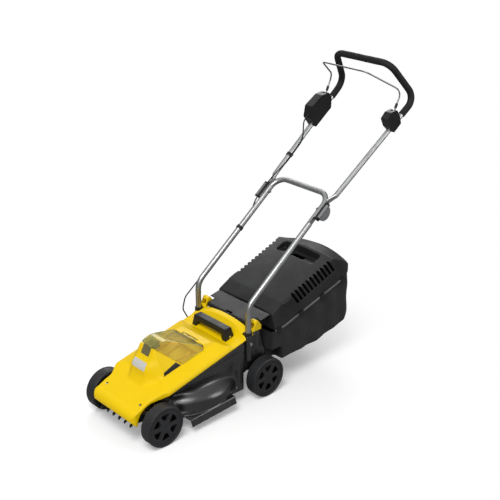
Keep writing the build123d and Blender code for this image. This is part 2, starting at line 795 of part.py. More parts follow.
with BuildPart() as deck_housing:
    with BuildSketch(Plane.YZ):
        with BuildLine():
            Polyline(
                (BODY_FRONT, DOME_BOTTOM),
                (BODY_REAR, DOME_BOTTOM),
                (BODY_REAR, edge_z(BODY_REAR) + LAP),
                (BODY_FRONT, edge_z(BODY_FRONT) + LAP),
                close=True,
            )
        make_face()
    extrude(amount=BODY_HALF, both=True)
    fillet(deck_housing.edges().filter_by(Axis.Z).group_by(Axis.Y)[0], BODY_CORNER)
    add(dome_form(0, DOME_BOTTOM))
    add(deck_pockets.part, mode=Mode.SUBTRACT)
    add(deck_top_space.part, mode=Mode.SUBTRACT)
    add(chute_form(CHUTE_WALL))
    # Side lips, tilted up to the rear
    lip_angle = math.radians(LIP_TILT)
    lip_plane = Plane(
        origin=(0, LIP_FRONT, LIP_Z),
        x_dir=(1, 0, 0),
        z_dir=(0, math.cos(lip_angle), math.sin(lip_angle)),
    )
    for side in (-1, 1):
        with BuildSketch(lip_plane):
            with BuildLine():
                Polyline(
                    (side * (BODY_HALF - 3), 0),
                    (side * (LIP_OUTER - 19), 0),
                    (side * (LIP_OUTER - 2), 20),
                    (side * LIP_OUTER, 18),
                    (side * (LIP_OUTER - 17), -LIP_THICK),
                    (side * (BODY_HALF - 3), -LIP_THICK),
                    close=True,
                )
            make_face()
        extrude(amount=LIP_LENGTH)
    # Nose tub with the grass comb below it
    nose_mid = (NOSE_DECK_FRONT + BODY_FRONT) / 2
    nose_length = BODY_FRONT - NOSE_DECK_FRONT
    with BuildSketch(Plane.XY.offset(NOSE_DECK_BOTTOM)):
        with Locations((0, nose_mid + 2)):
            Rectangle(2 * NOSE_DECK_HALF, nose_length + 4)
    extrude(amount=NOSE_DECK_TOP - NOSE_DECK_BOTTOM)
    with BuildSketch(Plane.XY.offset(NOSE_DECK_BOTTOM + DECK_WALL)):
        with Locations((0, nose_mid)):
            Rectangle(2 * (NOSE_DECK_HALF - DECK_WALL), nose_length - 2 * DECK_WALL)
    extrude(amount=NOSE_DECK_TOP, mode=Mode.SUBTRACT)
    for tooth in range(COMB_TEETH):
        with BuildSketch(Plane.YZ.offset((tooth - (COMB_TEETH - 1) / 2) * COMB_PITCH)):
            with BuildLine():
                Polyline(
                    (NOSE_DECK_FRONT + 20, NOSE_DECK_BOTTOM + 1),
                    (NOSE_DECK_FRONT + 2, NOSE_DECK_BOTTOM + 1),
                    (NOSE_DECK_FRONT + 2, NOSE_DECK_BOTTOM - 9),
                    (NOSE_DECK_FRONT - 10, NOSE_DECK_BOTTOM - 12),
                    (NOSE_DECK_FRONT - 8, NOSE_DECK_BOTTOM - 26),
                    (NOSE_DECK_FRONT + 12, NOSE_DECK_BOTTOM - 14),
                    close=True,
                )
            make_face()
        extrude(amount=COMB_THICK / 2, both=True)
    for side in (-1, 1):
        with BuildSketch(Plane.XY.offset(NOSE_DECK_BOTTOM + 1)):
            with Locations((side * NOSE_SCREW_X, NOSE_SCREW_Y)):
                Circle(5)
        extrude(amount=NOSE_SCREW_Z - 4 - SEAT_GAP - NOSE_DECK_BOTTOM - 1)
        with BuildSketch(Plane.XY.offset(NOSE_SCREW_Z - 24)):
            with Locations((side * NOSE_SCREW_X, NOSE_SCREW_Y)):
                Circle(2.05)
        extrude(amount=24, mode=Mode.SUBTRACT)
        # Axle plates
        with BuildSketch(Plane.YZ.offset(side * FRONT_PLATE_X)):
            with BuildLine():
                Polyline(
                    (-AXLE_Y - 38, 36),
                    (-AXLE_Y + 38, 36),
                    (-AXLE_Y + 42, NOSE_DECK_TOP - 2),
                    (-AXLE_Y - 46, NOSE_DECK_TOP - 2),
                    close=True,
                )
            make_face()
        extrude(amount=side * PLATE_THICK)
        with BuildSketch(Plane.YZ.offset(side * REAR_PLATE_X)):
            with BuildLine():
                Polyline(
                    (BODY_REAR - 6, 120),
                    (BODY_REAR - 6, edge_z(BODY_REAR) - 2),
                    (LEG_Y - 12, SOCKET_TOP - 9),
                    (COVER_REAR + 4, SOCKET_TOP - 8),
                    (AXLE_Y - 2, SOCKET_TOP + 3),
                    (AXLE_Y + 24, 170),
                    (AXLE_Y + 24, 120),
                    (AXLE_Y + 20, 36),
                    (AXLE_Y - 20, 36),
                    (AXLE_Y - 20, 96),
                    close=True,
                )
            make_face()
        extrude(amount=side * PLATE_THICK)
        # Webs that tie the rear plate to the duct, and the catcher's ledge
        with BuildSketch(Plane.XY.offset(117)):
            with Locations((side * web_mid_x, (BODY_REAR + CHUTE_END) / 2 - 2)):
                Rectangle(web_width, CHUTE_END - BODY_REAR + 4)
        extrude(amount=5)
        with BuildSketch(Plane.XY.offset(228)):
            with Locations((side * web_mid_x, (LEG_Y + CHUTE_END) / 2)):
                Rectangle(web_width, CHUTE_END - LEG_Y)
        extrude(amount=4)
        with BuildSketch(Plane.XY.offset(236)):
            with Locations((side * web_mid_x, CHUTE_END + 3)):
                Rectangle(web_width, 22)
        extrude(amount=6)
        # Ribs on the outside of the rear plate
        with BuildSketch(Plane.XY.offset(160)):
            with Locations((side * rib_x, LEG_Y + 34), (side * rib_x, LEG_Y + 56)):
                Rectangle(10, 4)
        extrude(amount=86)
        # Tube socket
        with BuildSketch(Plane.XY.offset(SOCKET_BOTTOM)):
            with Locations((side * LEG_X, LEG_Y)):
                Circle(socket_radius)
            with Locations((side * (REAR_PLATE_X + 3), LEG_Y)):
                Rectangle(18, 2 * socket_radius - 8)
        extrude(amount=SOCKET_TOP - SOCKET_BOTTOM)
        with BuildSketch(Plane.XY.offset(LEG_FOOT_Z - 3)):
            with Locations((side * LEG_X, LEG_Y)):
                Circle(TUBE_RADIUS + RUN_GAP)
        extrude(amount=200, mode=Mode.SUBTRACT)
        with BuildSketch(Plane.YZ.offset(side * (LEG_X - 14))):
            with Locations((LEG_Y, SOCKET_BOLT_Z)):
                Circle(3.1)
        extrude(amount=side * 60, mode=Mode.SUBTRACT)
        # Height notches for the axles
        for y_axle, plate_x in ((-AXLE_Y, FRONT_PLATE_X), (AXLE_Y, REAR_PLATE_X)):
            with BuildSketch(Plane.YZ.offset(side * (plate_x - 1))):
                with Locations((y_axle, WHEEL_RADIUS - HEIGHT_TRAVEL / 2)):
                    SlotCenterToCenter(HEIGHT_TRAVEL, 2 * (AXLE_RADIUS + SEAT_GAP), rotation=90)
                for step in range(HEIGHT_STEPS + 1):
                    with Locations((y_axle + 4, WHEEL_RADIUS - step * HEIGHT_TRAVEL / HEIGHT_STEPS)):
                        Circle(AXLE_RADIUS + SEAT_GAP)
            extrude(amount=side * (PLATE_THICK + 2), mode=Mode.SUBTRACT)
    # Motor seat on the dome, then the spaces for blade and grass
    add(dome_form(DECK_WALL, 0), mode=Mode.SUBTRACT)
    add(chute_form(0), mode=Mode.SUBTRACT)
    with BuildSketch(Plane.XY.offset(DOME_TOP)):
        with Locations((0, DOME_Y)):
            Circle(BEARING_RADIUS + 7)
    extrude(amount=-12)
    with BuildSketch(Plane.XY.offset(DOME_TOP + 5)):
        with Locations((0, DOME_Y)):
            Circle(BEARING_RADIUS + RUN_GAP)
    extrude(amount=-14, mode=Mode.SUBTRACT)
    with BuildSketch(Plane.XY.offset(DOME_TOP + 5)):
        with Locations((0, DOME_Y)):
            Circle(SHAFT_RADIUS + 2)
            with PolarLocations(MOTOR_FLANGE - 6, 4, start_angle=45):
                Circle(2.6)
    extrude(amount=-30, mode=Mode.SUBTRACT)
    with BuildSketch(Plane.XY.offset(DOME_TOP - 1)):
        with Locations((72, DOME_Y - 38), (120, DOME_Y - 38), (72, DOME_Y + 38), (120, DOME_Y + 38)):
            Circle(3)
    extrude(amount=9)
    # Gland for the cable, and room below the cover's saddle
    with BuildSketch(Plane.YZ.offset(-BODY_HALF - 5)):
        with Locations((BODY_REAR - 12, edge_z(BODY_REAR - 12) - 11)):
            Circle(CABLE_RADIUS + RUN_GAP)
    extrude(amount=12, mode=Mode.SUBTRACT)
    add(well_form(COVER_WALL + SEAT_GAP), mode=Mode.SUBTRACT)
save(deck_housing.part, "deck_housing")


# Motor and blade on the dome
def ring(z, height, outer, inner):
    """Plain ring about the motor axis."""
    with BuildPart() as form:
        with BuildSketch(Plane.XY.offset(z)):
            with Locations((0, DOME_Y)):
                Circle(outer)
                Circle(inner, mode=Mode.SUBTRACT)
        extrude(amount=height)
    return form.part


motor_top = DOME_TOP + MOTOR_HEIGHT
with BuildPart() as motor_housing:
    add(ring(DOME_TOP, MOTOR_HEIGHT, MOTOR_RADIUS, MOTOR_RADIUS - MOTOR_WALL))
    add(ring(DOME_TOP, 4, MOTOR_FLANGE, MOTOR_RADIUS - MOTOR_WALL))
    add(ring(motor_top - MOTOR_WALL, MOTOR_WALL, MOTOR_RADIUS, SHAFT_RADIUS + 2))
    seat_z = motor_top - MOTOR_WALL - BEARING_WIDTH
    add(ring(seat_z, BEARING_WIDTH + 1, BEARING_RADIUS + 4, BEARING_RADIUS + RUN_GAP))
    with BuildSketch(Plane.XY.offset(DOME_TOP)):
        with Locations((0, DOME_Y)):
            with PolarLocations(MOTOR_FLANGE - 6, 4, start_angle=45):
                Circle(2.6)
    extrude(amount=4, mode=Mode.SUBTRACT)
save(motor_housing.part, "motor_housing")

with BuildPart() as motor_screws:
    with BuildSketch(Plane.XY.offset(DOME_TOP + 4)):
        with Locations((0, DOME_Y)):
            with PolarLocations(MOTOR_FLANGE - 6, 4, start_angle=45):
                Circle(4.5)
    extrude(amount=3.5)
    with BuildSketch(Plane.XY.offset(DOME_TOP + 4)):
        with Locations((0, DOME_Y)):
            with PolarLocations(MOTOR_FLANGE - 6, 4, start_angle=45):
                Circle(2.5)
    extrude(amount=-9)
save(motor_screws.part, "motor_screws")

rotor_radius = MOTOR_RADIUS * 0.56
stator_radius = MOTOR_RADIUS - MOTOR_WALL - RUN_GAP
save(ring(DOME_TOP + 7, MOTOR_HEIGHT - 20, stator_radius, rotor_radius + 0.6), "motor_stator")
save(ring(DOME_TOP + 7, MOTOR_HEIGHT - 20, rotor_radius, SHAFT_RADIUS + RUN_GAP), "motor_rotor")

with BuildPart() as motor_bearings:
    add(ring(DOME_TOP - 9, BEARING_WIDTH, BEARING_RADIUS, SHAFT_RADIUS + RUN_GAP))
    add(ring(motor_top - MOTOR_WALL - BEARING_WIDTH, BEARING_WIDTH, BEARING_RADIUS, SHAFT_RADIUS + RUN_GAP))
save(motor_bearings.part, "motor_bearings")

shaft_bottom = BLADE_Z + BLADE_BAR + 3
with BuildPart() as motor_shaft:
    add(ring(shaft_bottom, 17, SHAFT_RADIUS, BLADE_BOLT + RUN_GAP))
    with BuildSketch(Plane.XY.offset(shaft_bottom + 17)):
        with Locations((0, DOME_Y)):
            Circle(SHAFT_RADIUS)
    extrude(amount=motor_top - MOTOR_WALL - shaft_bottom - 17 + 1)
save(motor_shaft.part, "motor_shaft")

with BuildPart() as blade_adapter:
    add(ring(BLADE_Z + BLADE_BAR, 3, 16, BLADE_BOLT + 0.4))
    add(ring(BLADE_Z + BLADE_BAR + 3, 25, 16, SHAFT_RADIUS + RUN_GAP))
    add(ring(BLADE_Z + BLADE_BAR + 10, 3, 58, 15))
    with BuildSketch(Plane.XY.offset(BLADE_Z + BLADE_BAR + 12)):
        with Locations((0, DOME_Y)):
            with PolarLocations(36, 10):
                Rectangle(42, 2.4)
    extrude(amount=12)
save(blade_adapter.part, "blade_adapter")

with BuildPart() as blade:
    with BuildSketch(Plane.XY.offset(BLADE_Z)) as bar:
        with Locations((0, DOME_Y)):
            Rectangle(BLADE_LENGTH, BLADE_WIDTH)
        chamfer(bar.vertices(), 9)
        with Locations((0, DOME_Y)):
            Circle(BLADE_BOLT + 0.4, mode=Mode.SUBTRACT)
    extrude(amount=BLADE_BAR)
    for side in (-1, 1):
        wing_angle = math.radians(32)
        wing_plane = Plane(
            origin=(side * (BLADE_LENGTH / 2 - 42), DOME_Y - side * (BLADE_WIDTH / 2 - 3), BLADE_Z),
            x_dir=(1, 0, 0),
            z_dir=(0, side * math.sin(wing_angle), math.cos(wing_angle)),
        )
        with BuildSketch(wing_plane):
            with Locations((0, -side * 8)):
                Rectangle(60, 16)
        extrude(amount=BLADE_BAR)
save(blade.part, "blade")

with BuildPart() as blade_bolt:
    with BuildSketch(Plane.XY.offset(BLADE_Z)):
        with Locations((0, DOME_Y)):
            RegularPolygon(8.5, 6)
    extrude(amount=-6)
    with BuildSketch(Plane.XY.offset(BLADE_Z)):
        with Locations((0, DOME_Y)):
            Circle(BLADE_BOLT)
    extrude(amount=19)
save(blade_bolt.part, "blade_bolt")

with BuildPart() as control_board:
    with BuildSketch(Plane.XY.offset(DOME_TOP + 8)):
        with Locations((96, DOME_Y)):
            Rectangle(62, 90)
    extrude(amount=1.6)
    with BuildSketch(Plane.XY.offset(DOME_TOP + 9.6)):
        with Locations((84, DOME_Y - 26), (84, DOME_Y), (84, DOME_Y + 26)):
            Circle(8)
        with Locations((112, DOME_Y)):
            Rectangle(14, 70)
    extrude(amount=18)
save(control_board.part, "control_board")


# Lower handle frame
def tube_form(points, radii, outer):
    """Round bar along straight runs joined by tangent arcs."""
    with BuildPart() as form:
        with BuildLine() as path:
            FilletPolyline(*points, radius=radii)
        with BuildSketch(Plane(origin=path.line @ 0, z_dir=path.line % 0)):
            Circle(outer)
        sweep()
    return form.part


def both_sides(points):
    """Points of one side followed by their mirror images."""
    return list(points) + [(-x, y, z) for x, y, z in reversed(points)]


leg_span = math.hypot(CROSS_Y - LEG_Y, CROSS_Z - LEG_BEND_Z)
along_y = (CROSS_Y - LEG_Y) / leg_span
along_z = (CROSS_Z - LEG_BEND_Z) / leg_span
pivot_y = CROSS_Y - PIVOT_BACK * along_y
pivot_z = CROSS_Z - PIVOT_BACK * along_z
leg_plane = Plane(origin=(0, pivot_y, pivot_z), x_dir=(0, along_y, along_z), z_dir=(1, 0, 0))


def leg_point(x, along, above):
    """Point beside a leg: distance along it from the fold axis, and height square to it."""
    return (x, pivot_y + along * along_y - above * along_z, pivot_z + along * along_z + above * along_y)


frame_points = both_sides(
    [(LEG_X, LEG_Y, LEG_FOOT_Z), (LEG_X, LEG_Y, LEG_BEND_Z), (LEG_X, CROSS_Y, CROSS_Z)]
)
frame_radii = (LEG_BEND_RADIUS, CROSS_RADIUS, CROSS_RADIUS, LEG_BEND_RADIUS)
with BuildPart() as frame_bore:
    add(tube_form(frame_points, frame_radii, TUBE_RADIUS - TUBE_WALL))
    for side in (-1, 1):
        with BuildSketch(leg_plane.offset(side * (LEG_X - 20))):
            with Locations((-10, 0)):
                Rectangle(120, 40)
        extrude(amount=side * 60, mode=Mode.SUBTRACT)
with BuildPart() as lower_handle_frame:
    add(tube_form(frame_points, frame_radii, TUBE_RADIUS))
    add(frame_bore.part, mode=Mode.SUBTRACT)
    for side in (-1, 1):
        with BuildSketch(leg_plane.offset(side * SEAT_X)):
            with Locations((-10, 0)):
                Rectangle(112, 40)
        extrude(amount=side * 40, mode=Mode.SUBTRACT)
        with BuildSketch(leg_plane.offset(side * (LEG_X - 20))):
            Circle(3 + RUN_GAP)
        extrude(amount=side * 60, mode=Mode.SUBTRACT)
        with BuildSketch(Plane.YZ.offset(side * (LEG_X - 14))):
            with Locations((LEG_Y, SOCKET_BOLT_Z)):
                Circle(3.1)
        extrude(amount=side * 60, mode=Mode.SUBTRACT)
save(lower_handle_frame.part, "lower_handle_frame")

with BuildPart() as tube_collars:
    with BuildSketch(Plane.XY.offset(SOCKET_TOP)):
        with Locations((-LEG_X, LEG_Y), (LEG_X, LEG_Y)):
            Circle(socket_radius + 0.4)
            Circle(TUBE_RADIUS + RUN_GAP, mode=Mode.SUBTRACT)
    extrude(amount=10)
save(tube_collars.part, "tube_collars")

with BuildPart() as socket_bolts:
    for side in (-1, 1):
        with BuildSketch(Plane.YZ.offset(side * (LEG_X + socket_radius))):
            with Locations((LEG_Y, SOCKET_BOLT_Z)):
                Circle(6)
        extrude(amount=side * 3.5)
        with BuildSketch(Plane.YZ.offset(side * (LEG_X + socket_radius))):
            with Locations((LEG_Y, SOCKET_BOLT_Z)):
                Circle(3)
        extrude(amount=side * -27)
save(socket_bolts.part, "socket_bolts")

# Upper handle: ends pressed flat at the fold, foam round the grip
start_point = leg_point(UPPER_START_X, UPPER_START, 0)
run = Vector(GRIP_BEND) - Vector(start_point)
run_dir = run.normalized()
tube_start = Vector(start_point) - run_dir * 26
flat_end = leg_point(SEAT_X + SEAT_GAP + BLADE_THICK / 2, PAD_END + 6, 0)


def grip_path(first):
    """Upper handle from a point on the left leg round the grip to the same point on the right."""
    return both_sides([(first.X, first.Y, first.Z), GRIP_BEND, GRIP_CORNER])


grip_radii = (GRIP_BEND_RADIUS, GRIP_CORNER_RADIUS, GRIP_CORNER_RADIUS, GRIP_BEND_RADIUS)


def pressed_end(side, wall):
    """Change from the flat end to the round tube."""
    with BuildPart() as form:
        flat_plane = Plane(
            origin=(side * flat_end[0], flat_end[1], flat_end[2]),
            x_dir=(0, -along_z, along_y),
            z_dir=(0, along_y, along_z),
        )
        with BuildSketch(flat_plane):
            SlotOverall(2 * UPPER_RADIUS + 2 - 2 * wall, BLADE_THICK - 2 * wall)
        round_dir = (side * run_dir.X, run_dir.Y, run_dir.Z)
        round_plane = Plane(
            origin=(side * tube_start.X, tube_start.Y, tube_start.Z),
            x_dir=(0, -along_z, along_y),
            z_dir=round_dir,
        )
        with BuildSketch(round_plane):
            Circle(UPPER_RADIUS - wall)
        loft()
    return form.part


def end_shell(side):
    """Hollow pressed end of one leg."""
    with BuildPart() as form:
        add(pressed_end(side, 0))
        add(pressed_end(side, UPPER_WALL), mode=Mode.SUBTRACT)
    return form.part


right_end = end_shell(-1)
left_end = end_shell(1)
with BuildPart() as upper_handle:
    add(tube_form(grip_path(tube_start), grip_radii, UPPER_RADIUS))
    add(tube_form(grip_path(tube_start), grip_radii, UPPER_RADIUS - UPPER_WALL), mode=Mode.SUBTRACT)
    add(right_end)
    add(left_end)
    for side in (-1, 1):
        with BuildSketch(leg_plane.offset(side * (SEAT_X + SEAT_GAP))):
            with Locations(((PAD_START + PAD_END + 10) / 2, 0)):
                Rectangle(PAD_END + 2 - PAD_START, 2 * UPPER_RADIUS + 2)
        extrude(amount=side * BLADE_THICK)
        with BuildSketch(leg_plane.offset(side * (SEAT_X - 5))):
            Circle(3 + RUN_GAP)
        extrude(amount=side * 20, mode=Mode.SUBTRACT)
save(upper_handle.part, "upper_handle")

foam_turn = (FOAM_END_Y - start_point[1]) / run.Y
foam_start = Vector(start_point) + run * foam_turn
with BuildPart() as foam_grip:
    add(tube_form(grip_path(foam_start), grip_radii, FOAM_RADIUS))
    add(tube_form(grip_path(foam_start), grip_radii, UPPER_RADIUS + RUN_GAP), mode=Mode.SUBTRACT)
save(foam_grip.part, "foam_grip")

# Fold clamps
pad_inner = SEAT_X + SEAT_GAP + BLADE_THICK
pad_outer = LEVER_AXIS_X - LEVER_KNUCKLE - 0.9
for hand, side in (("right", -1), ("left", 1)):
    with BuildPart() as lever:
        with BuildSketch(leg_plane.offset(side * (LEVER_AXIS_X - 4.5))) as outline:
            with BuildLine():
                Line((LEVER_START, LEVER_AXIS_N), (LEVER_END, LEVER_AXIS_N))
                Line((LEVER_END, LEVER_AXIS_N), (LEVER_END, -6))
                ThreePointArc((LEVER_END, -6), ((LEVER_START + LEVER_END) / 2, -28), (LEVER_START, -6))
                Line((LEVER_START, -6), (LEVER_START, LEVER_AXIS_N))
            make_face()
        extrude(amount=side * 9)
        hinge = Plane(
            origin=leg_point(side * LEVER_AXIS_X, LEVER_START, LEVER_AXIS_N),
            x_dir=(1, 0, 0),
            z_dir=(0, along_y, along_z),
        )
        with BuildSketch(hinge):
            Circle(LEVER_KNUCKLE)
        extrude(amount=LEVER_END - LEVER_START)
        with BuildSketch(hinge.offset(-4)):
            Circle(2)
        extrude(amount=LEVER_END - LEVER_START + 8)
    save(lever.part, f"lever_{hand}")

with BuildPart() as clamp_pads:
    for side in (-1, 1):
        with BuildSketch(leg_plane.offset(side * (pad_inner + 0.1))) as pad:
            with Locations(((PAD_START + PAD_END) / 2, 0)):
                Rectangle(PAD_END - PAD_START, 2 * PAD_HALF)
            fillet(pad.vertices(), 4)
        extrude(amount=side * (pad_outer - pad_inner - 0.1))
        hinge = Plane(
            origin=leg_point(side * LEVER_AXIS_X, 0, LEVER_AXIS_N),
            x_dir=(side, 0, 0),
            z_dir=(0, side * along_y, side * along_z),
        )
        for start, length in ((LEVER_START - 5.5, 5), (LEVER_END + 0.5, 5)):
            with BuildSketch(hinge.offset(side * start)):
                Circle(LEVER_KNUCKLE)
                with Locations((-5, 0)):
                    Rectangle(10, 2 * LEVER_KNUCKLE)
                Circle(2 + RUN_GAP, mode=Mode.SUBTRACT)
            extrude(amount=side * length)
        with BuildSketch(leg_plane.offset(side * (pad_inner - 1))):
            Circle(3 + RUN_GAP)
        extrude(amount=side * 5, mode=Mode.SUBTRACT)
save(clamp_pads.part, "clamp_pads")

with BuildPart() as pivot_bolts:
    for side in (-1, 1):
        with BuildSketch(leg_plane.offset(side * (LEG_X - TUBE_RADIUS - 3.4))):
            Circle(6)
        extrude(amount=side * 3)
        with BuildSketch(leg_plane.offset(side * (LEG_X - TUBE_RADIUS - 0.5))):
            Circle(3)
        extrude(amount=side * (pad_inner + 3.5 - LEG_X + TUBE_RADIUS + 0.5))
save(pivot_bolts.part, "pivot_bolts")

# Bail wire between the switch box and the plain clamp
bail_points = both_sides([(BAIL_PIN_X, BAIL_BASE[1], BAIL_BASE[2]), BAIL_BASE, BAIL_BEND, BAIL_CORNER])
bail_radii = BAIL_RADII + BAIL_RADII[::-1]
save(tube_form(bail_points, bail_radii, BAIL_RADIUS), "bail_wire")

bail_dir = (Vector(BAIL_BEND) - Vector(BAIL_BASE)).normalized()
with BuildPart() as bail_sleeves:
    for side in (-1, 1):
        sleeve_start = Vector(BAIL_BASE) + bail_dir * 20
        sleeve_plane = Plane(
            origin=(side * sleeve_start.X, sleeve_start.Y, sleeve_start.Z),
            z_dir=(side * bail_dir.X, bail_dir.Y, bail_dir.Z),
        )
        with BuildSketch(sleeve_plane):
            Circle(5)
            Circle(BAIL_RADIUS + RUN_GAP, mode=Mode.SUBTRACT)
        extrude(amount=18)
save(bail_sleeves.part, "bail_sleeves")

box_turn = (BAIL_BASE[1] - start_point[1]) / run.Y
box_origin = Vector(start_point) + run * box_turn
box_span = math.hypot(run.Y, run.Z)
box_y = run.Y / box_span
box_z = run.Z / box_span


def box_plane(x):
    """Plane beside the upper leg: first axis along the leg, second square to it."""
    return Plane(origin=(x, box_origin.Y, box_origin.Z), x_dir=(0, box_y, box_z), z_dir=(1, 0, 0))


pin_along = (BAIL_BASE[2] - box_origin.Z) * box_z
pin_above = (BAIL_BASE[2] - box_origin.Z) * box_y


def box_cuts(side):
    """Tube bore, pin hole and swing slot shared by switch box and clamp."""
    with BuildPart() as form:
        bore_dir = Vector(side * run_dir.X, run_dir.Y, run_dir.Z)
        bore_from = Vector(side * box_origin.X, box_origin.Y, box_origin.Z) - bore_dir * 150
        with BuildSketch(Plane(origin=bore_from, z_dir=bore_dir)):
            Circle(UPPER_RADIUS + RUN_GAP)
        extrude(amount=300)
        with BuildSketch(box_plane(side * (BAIL_PIN_X - 1))):
            with Locations((pin_along, pin_above)):
                Circle(BAIL_RADIUS + RUN_GAP)
        extrude(amount=side * 14)
        with BuildSketch(box_plane(side * (BAIL_BASE[0] - 6))):
            with BuildLine():
                Polyline(
                    (pin_along - 4, pin_above - 5),
                    (pin_along + 60, pin_above - 14),
                    (pin_along + 60, pin_above + 70),
                    (pin_along - 4, pin_above + 30),
                    close=True,
                )
            make_face()
        extrude(amount=side * 12)
    return form.part


with BuildPart() as switch_box:
    with BuildSketch(box_plane(-155)) as outline:
        Polygon(*BOX_OUTLINE, align=None)
        fillet(outline.vertices(), 7)
    extrude(amount=-41)
    chamfer(switch_box.faces().sort_by(Axis.X)[0].edges(), 4)
    add(box_cuts(-1), mode=Mode.SUBTRACT)
    button_plane = Plane(
        origin=box_plane(BUTTON_X).from_local_coords((37, 33.5, 0)),
        x_dir=(1, 0, 0),
        z_dir=(0, box_y, box_z),
    )
    with BuildSketch(button_plane):
        Circle(BUTTON_RADIUS + RUN_GAP)
    extrude(amount=-16, mode=Mode.SUBTRACT)
    cable_plane = Plane(
        origin=box_plane(BOX_CABLE[0]).from_local_coords((-100, BOX_CABLE[1], 0)),
        x_dir=(1, 0, 0),
        z_dir=(0, box_y, box_z),
    )
    with BuildSketch(cable_plane):
        Circle(CABLE_RADIUS + RUN_GAP)
    extrude(amount=24, mode=Mode.SUBTRACT)
save(switch_box.part, "switch_box")

with BuildPart() as start_button:
    with BuildSketch(button_plane.offset(-10)):
        Circle(BUTTON_RADIUS)
    extrude(amount=10 + BUTTON_TRAVEL + 1)
    fillet(start_button.edges().sort_by(Axis.Y)[-1], 0.8)
save(start_button.part, "start_button")

with BuildPart() as bail_clamp:
    with BuildSketch(box_plane(160)) as outline:
        Polygon(*CLAMP_OUTLINE, align=None)
        fillet(outline.vertices(), 6)
    extrude(amount=30)
    add(box_cuts(1), mode=Mode.SUBTRACT)
save(bail_clamp.part, "bail_clamp")


# Cable from the switch box to the deck, with its clips
under_x = -(LEG_X + math.sqrt((TUBE_RADIUS + CABLE_RADIUS + 0.4) ** 2 - 36))
gland_y = BODY_REAR - 12
gland_z = edge_z(gland_y) - 11
over_x = -(pad_inner + 1.2)
over_n = PAD_HALF + CABLE_RADIUS + 1
loop_low = leg_point(under_x, -100, -6)
upper_gap = UPPER_RADIUS + CABLE_RADIUS + 0.4


def beside_upper(along, offset_x, above):
    """Point beside the right upper leg, measured along it from its round start."""
    base = Vector(start_point) + run_dir * along
    return (-base.X + offset_x, base.Y - above * box_z, base.Z + above * box_y)


loop_high = beside_upper(62, upper_gap, 0)
cable_low_points = [
    (-BODY_HALF + 3, gland_y, gland_z),
    (-BODY_HALF - 11, gland_y, gland_z),
    (-BODY_HALF - 11, gland_y - 25, gland_z + 46),
    (-BODY_HALF - 11, gland_y - 12, gland_z + 92),
    leg_point(under_x, -384, -6),
    loop_low,
]
save(tube_form(cable_low_points, (7, 30, 40, 60), CABLE_RADIUS), "cable_lower")

cable_loop_points = [
    loop_low,
    leg_point(under_x, -92, -6),
    leg_point(under_x - 3.2, -74, 1),
    leg_point(over_x, -46, over_n),
    leg_point(over_x, 75, over_n),
    beside_upper(28, upper_gap, 0),
    loop_high,
]
save(tube_form(cable_loop_points, (10, 12, 14, 30, 30), CABLE_RADIUS), "cable_fold_loop")

box_entry = box_plane(BOX_CABLE[0]).from_local_coords((-80, BOX_CABLE[1], 0))
box_before = box_plane(BOX_CABLE[0]).from_local_coords((-120, BOX_CABLE[1], 0))
cable_high_points = [
    loop_high,
    beside_upper(155, upper_gap, 0),
    (box_before.X, box_before.Y, box_before.Z),
    (box_entry.X, box_entry.Y, box_entry.Z),
]
save(tube_form(cable_high_points, (60, 30), CABLE_RADIUS), "cable_upper")


def clip_form(origin, along, offset, tube):
    """Ring round a tube with a smaller ring for the cable."""
    with BuildPart() as form:
        with BuildSketch(Plane(origin=origin, x_dir=(1, 0, 0), z_dir=along)):
            Circle(tube + 2.6)
            with Locations(offset):
                Circle(CABLE_RADIUS + 2.4)
            Circle(tube + RUN_GAP, mode=Mode.SUBTRACT)
            with Locations(offset):
                Circle(CABLE_RADIUS + RUN_GAP, mode=Mode.SUBTRACT)
        extrude(amount=6, both=True)
    return form.part


low_origin = leg_point(-LEG_X, CLIP_LOW, 0)
save(clip_form(low_origin, (0, along_y, along_z), (under_x + LEG_X, 6), TUBE_RADIUS), "cable_clip_lower")
high_dir = Vector(-run_dir.X, run_dir.Y, run_dir.Z)
high_origin = Vector(-start_point[0], start_point[1], start_point[2]) + high_dir * 76
high_across = Vector(1, 0, 0) - high_dir * high_dir.X
with BuildPart() as cable_clip_upper:
    with BuildSketch(Plane(origin=high_origin, x_dir=high_across, z_dir=high_dir)):
        Circle(UPPER_RADIUS + 2.6)
        with Locations((upper_gap, 0)):
            Circle(CABLE_RADIUS + 2.4)
        Circle(UPPER_RADIUS + RUN_GAP, mode=Mode.SUBTRACT)
        with Locations((upper_gap, 0)):
            Circle(CABLE_RADIUS + RUN_GAP, mode=Mode.SUBTRACT)
    extrude(amount=6, both=True)
save(cable_clip_upper.part, "cable_clip_upper")


# Rear flap on its pin between the ears
flap_slope = (FLAP_END_Z - FLAP_PIN_Z - FLAP_BARREL) / (FLAP_END_Y - FLAP_PIN_Y)


def flap_z(y):
    """Upper face of the flap."""
    return FLAP_PIN_Z + FLAP_BARREL + (y - FLAP_PIN_Y) * flap_slope


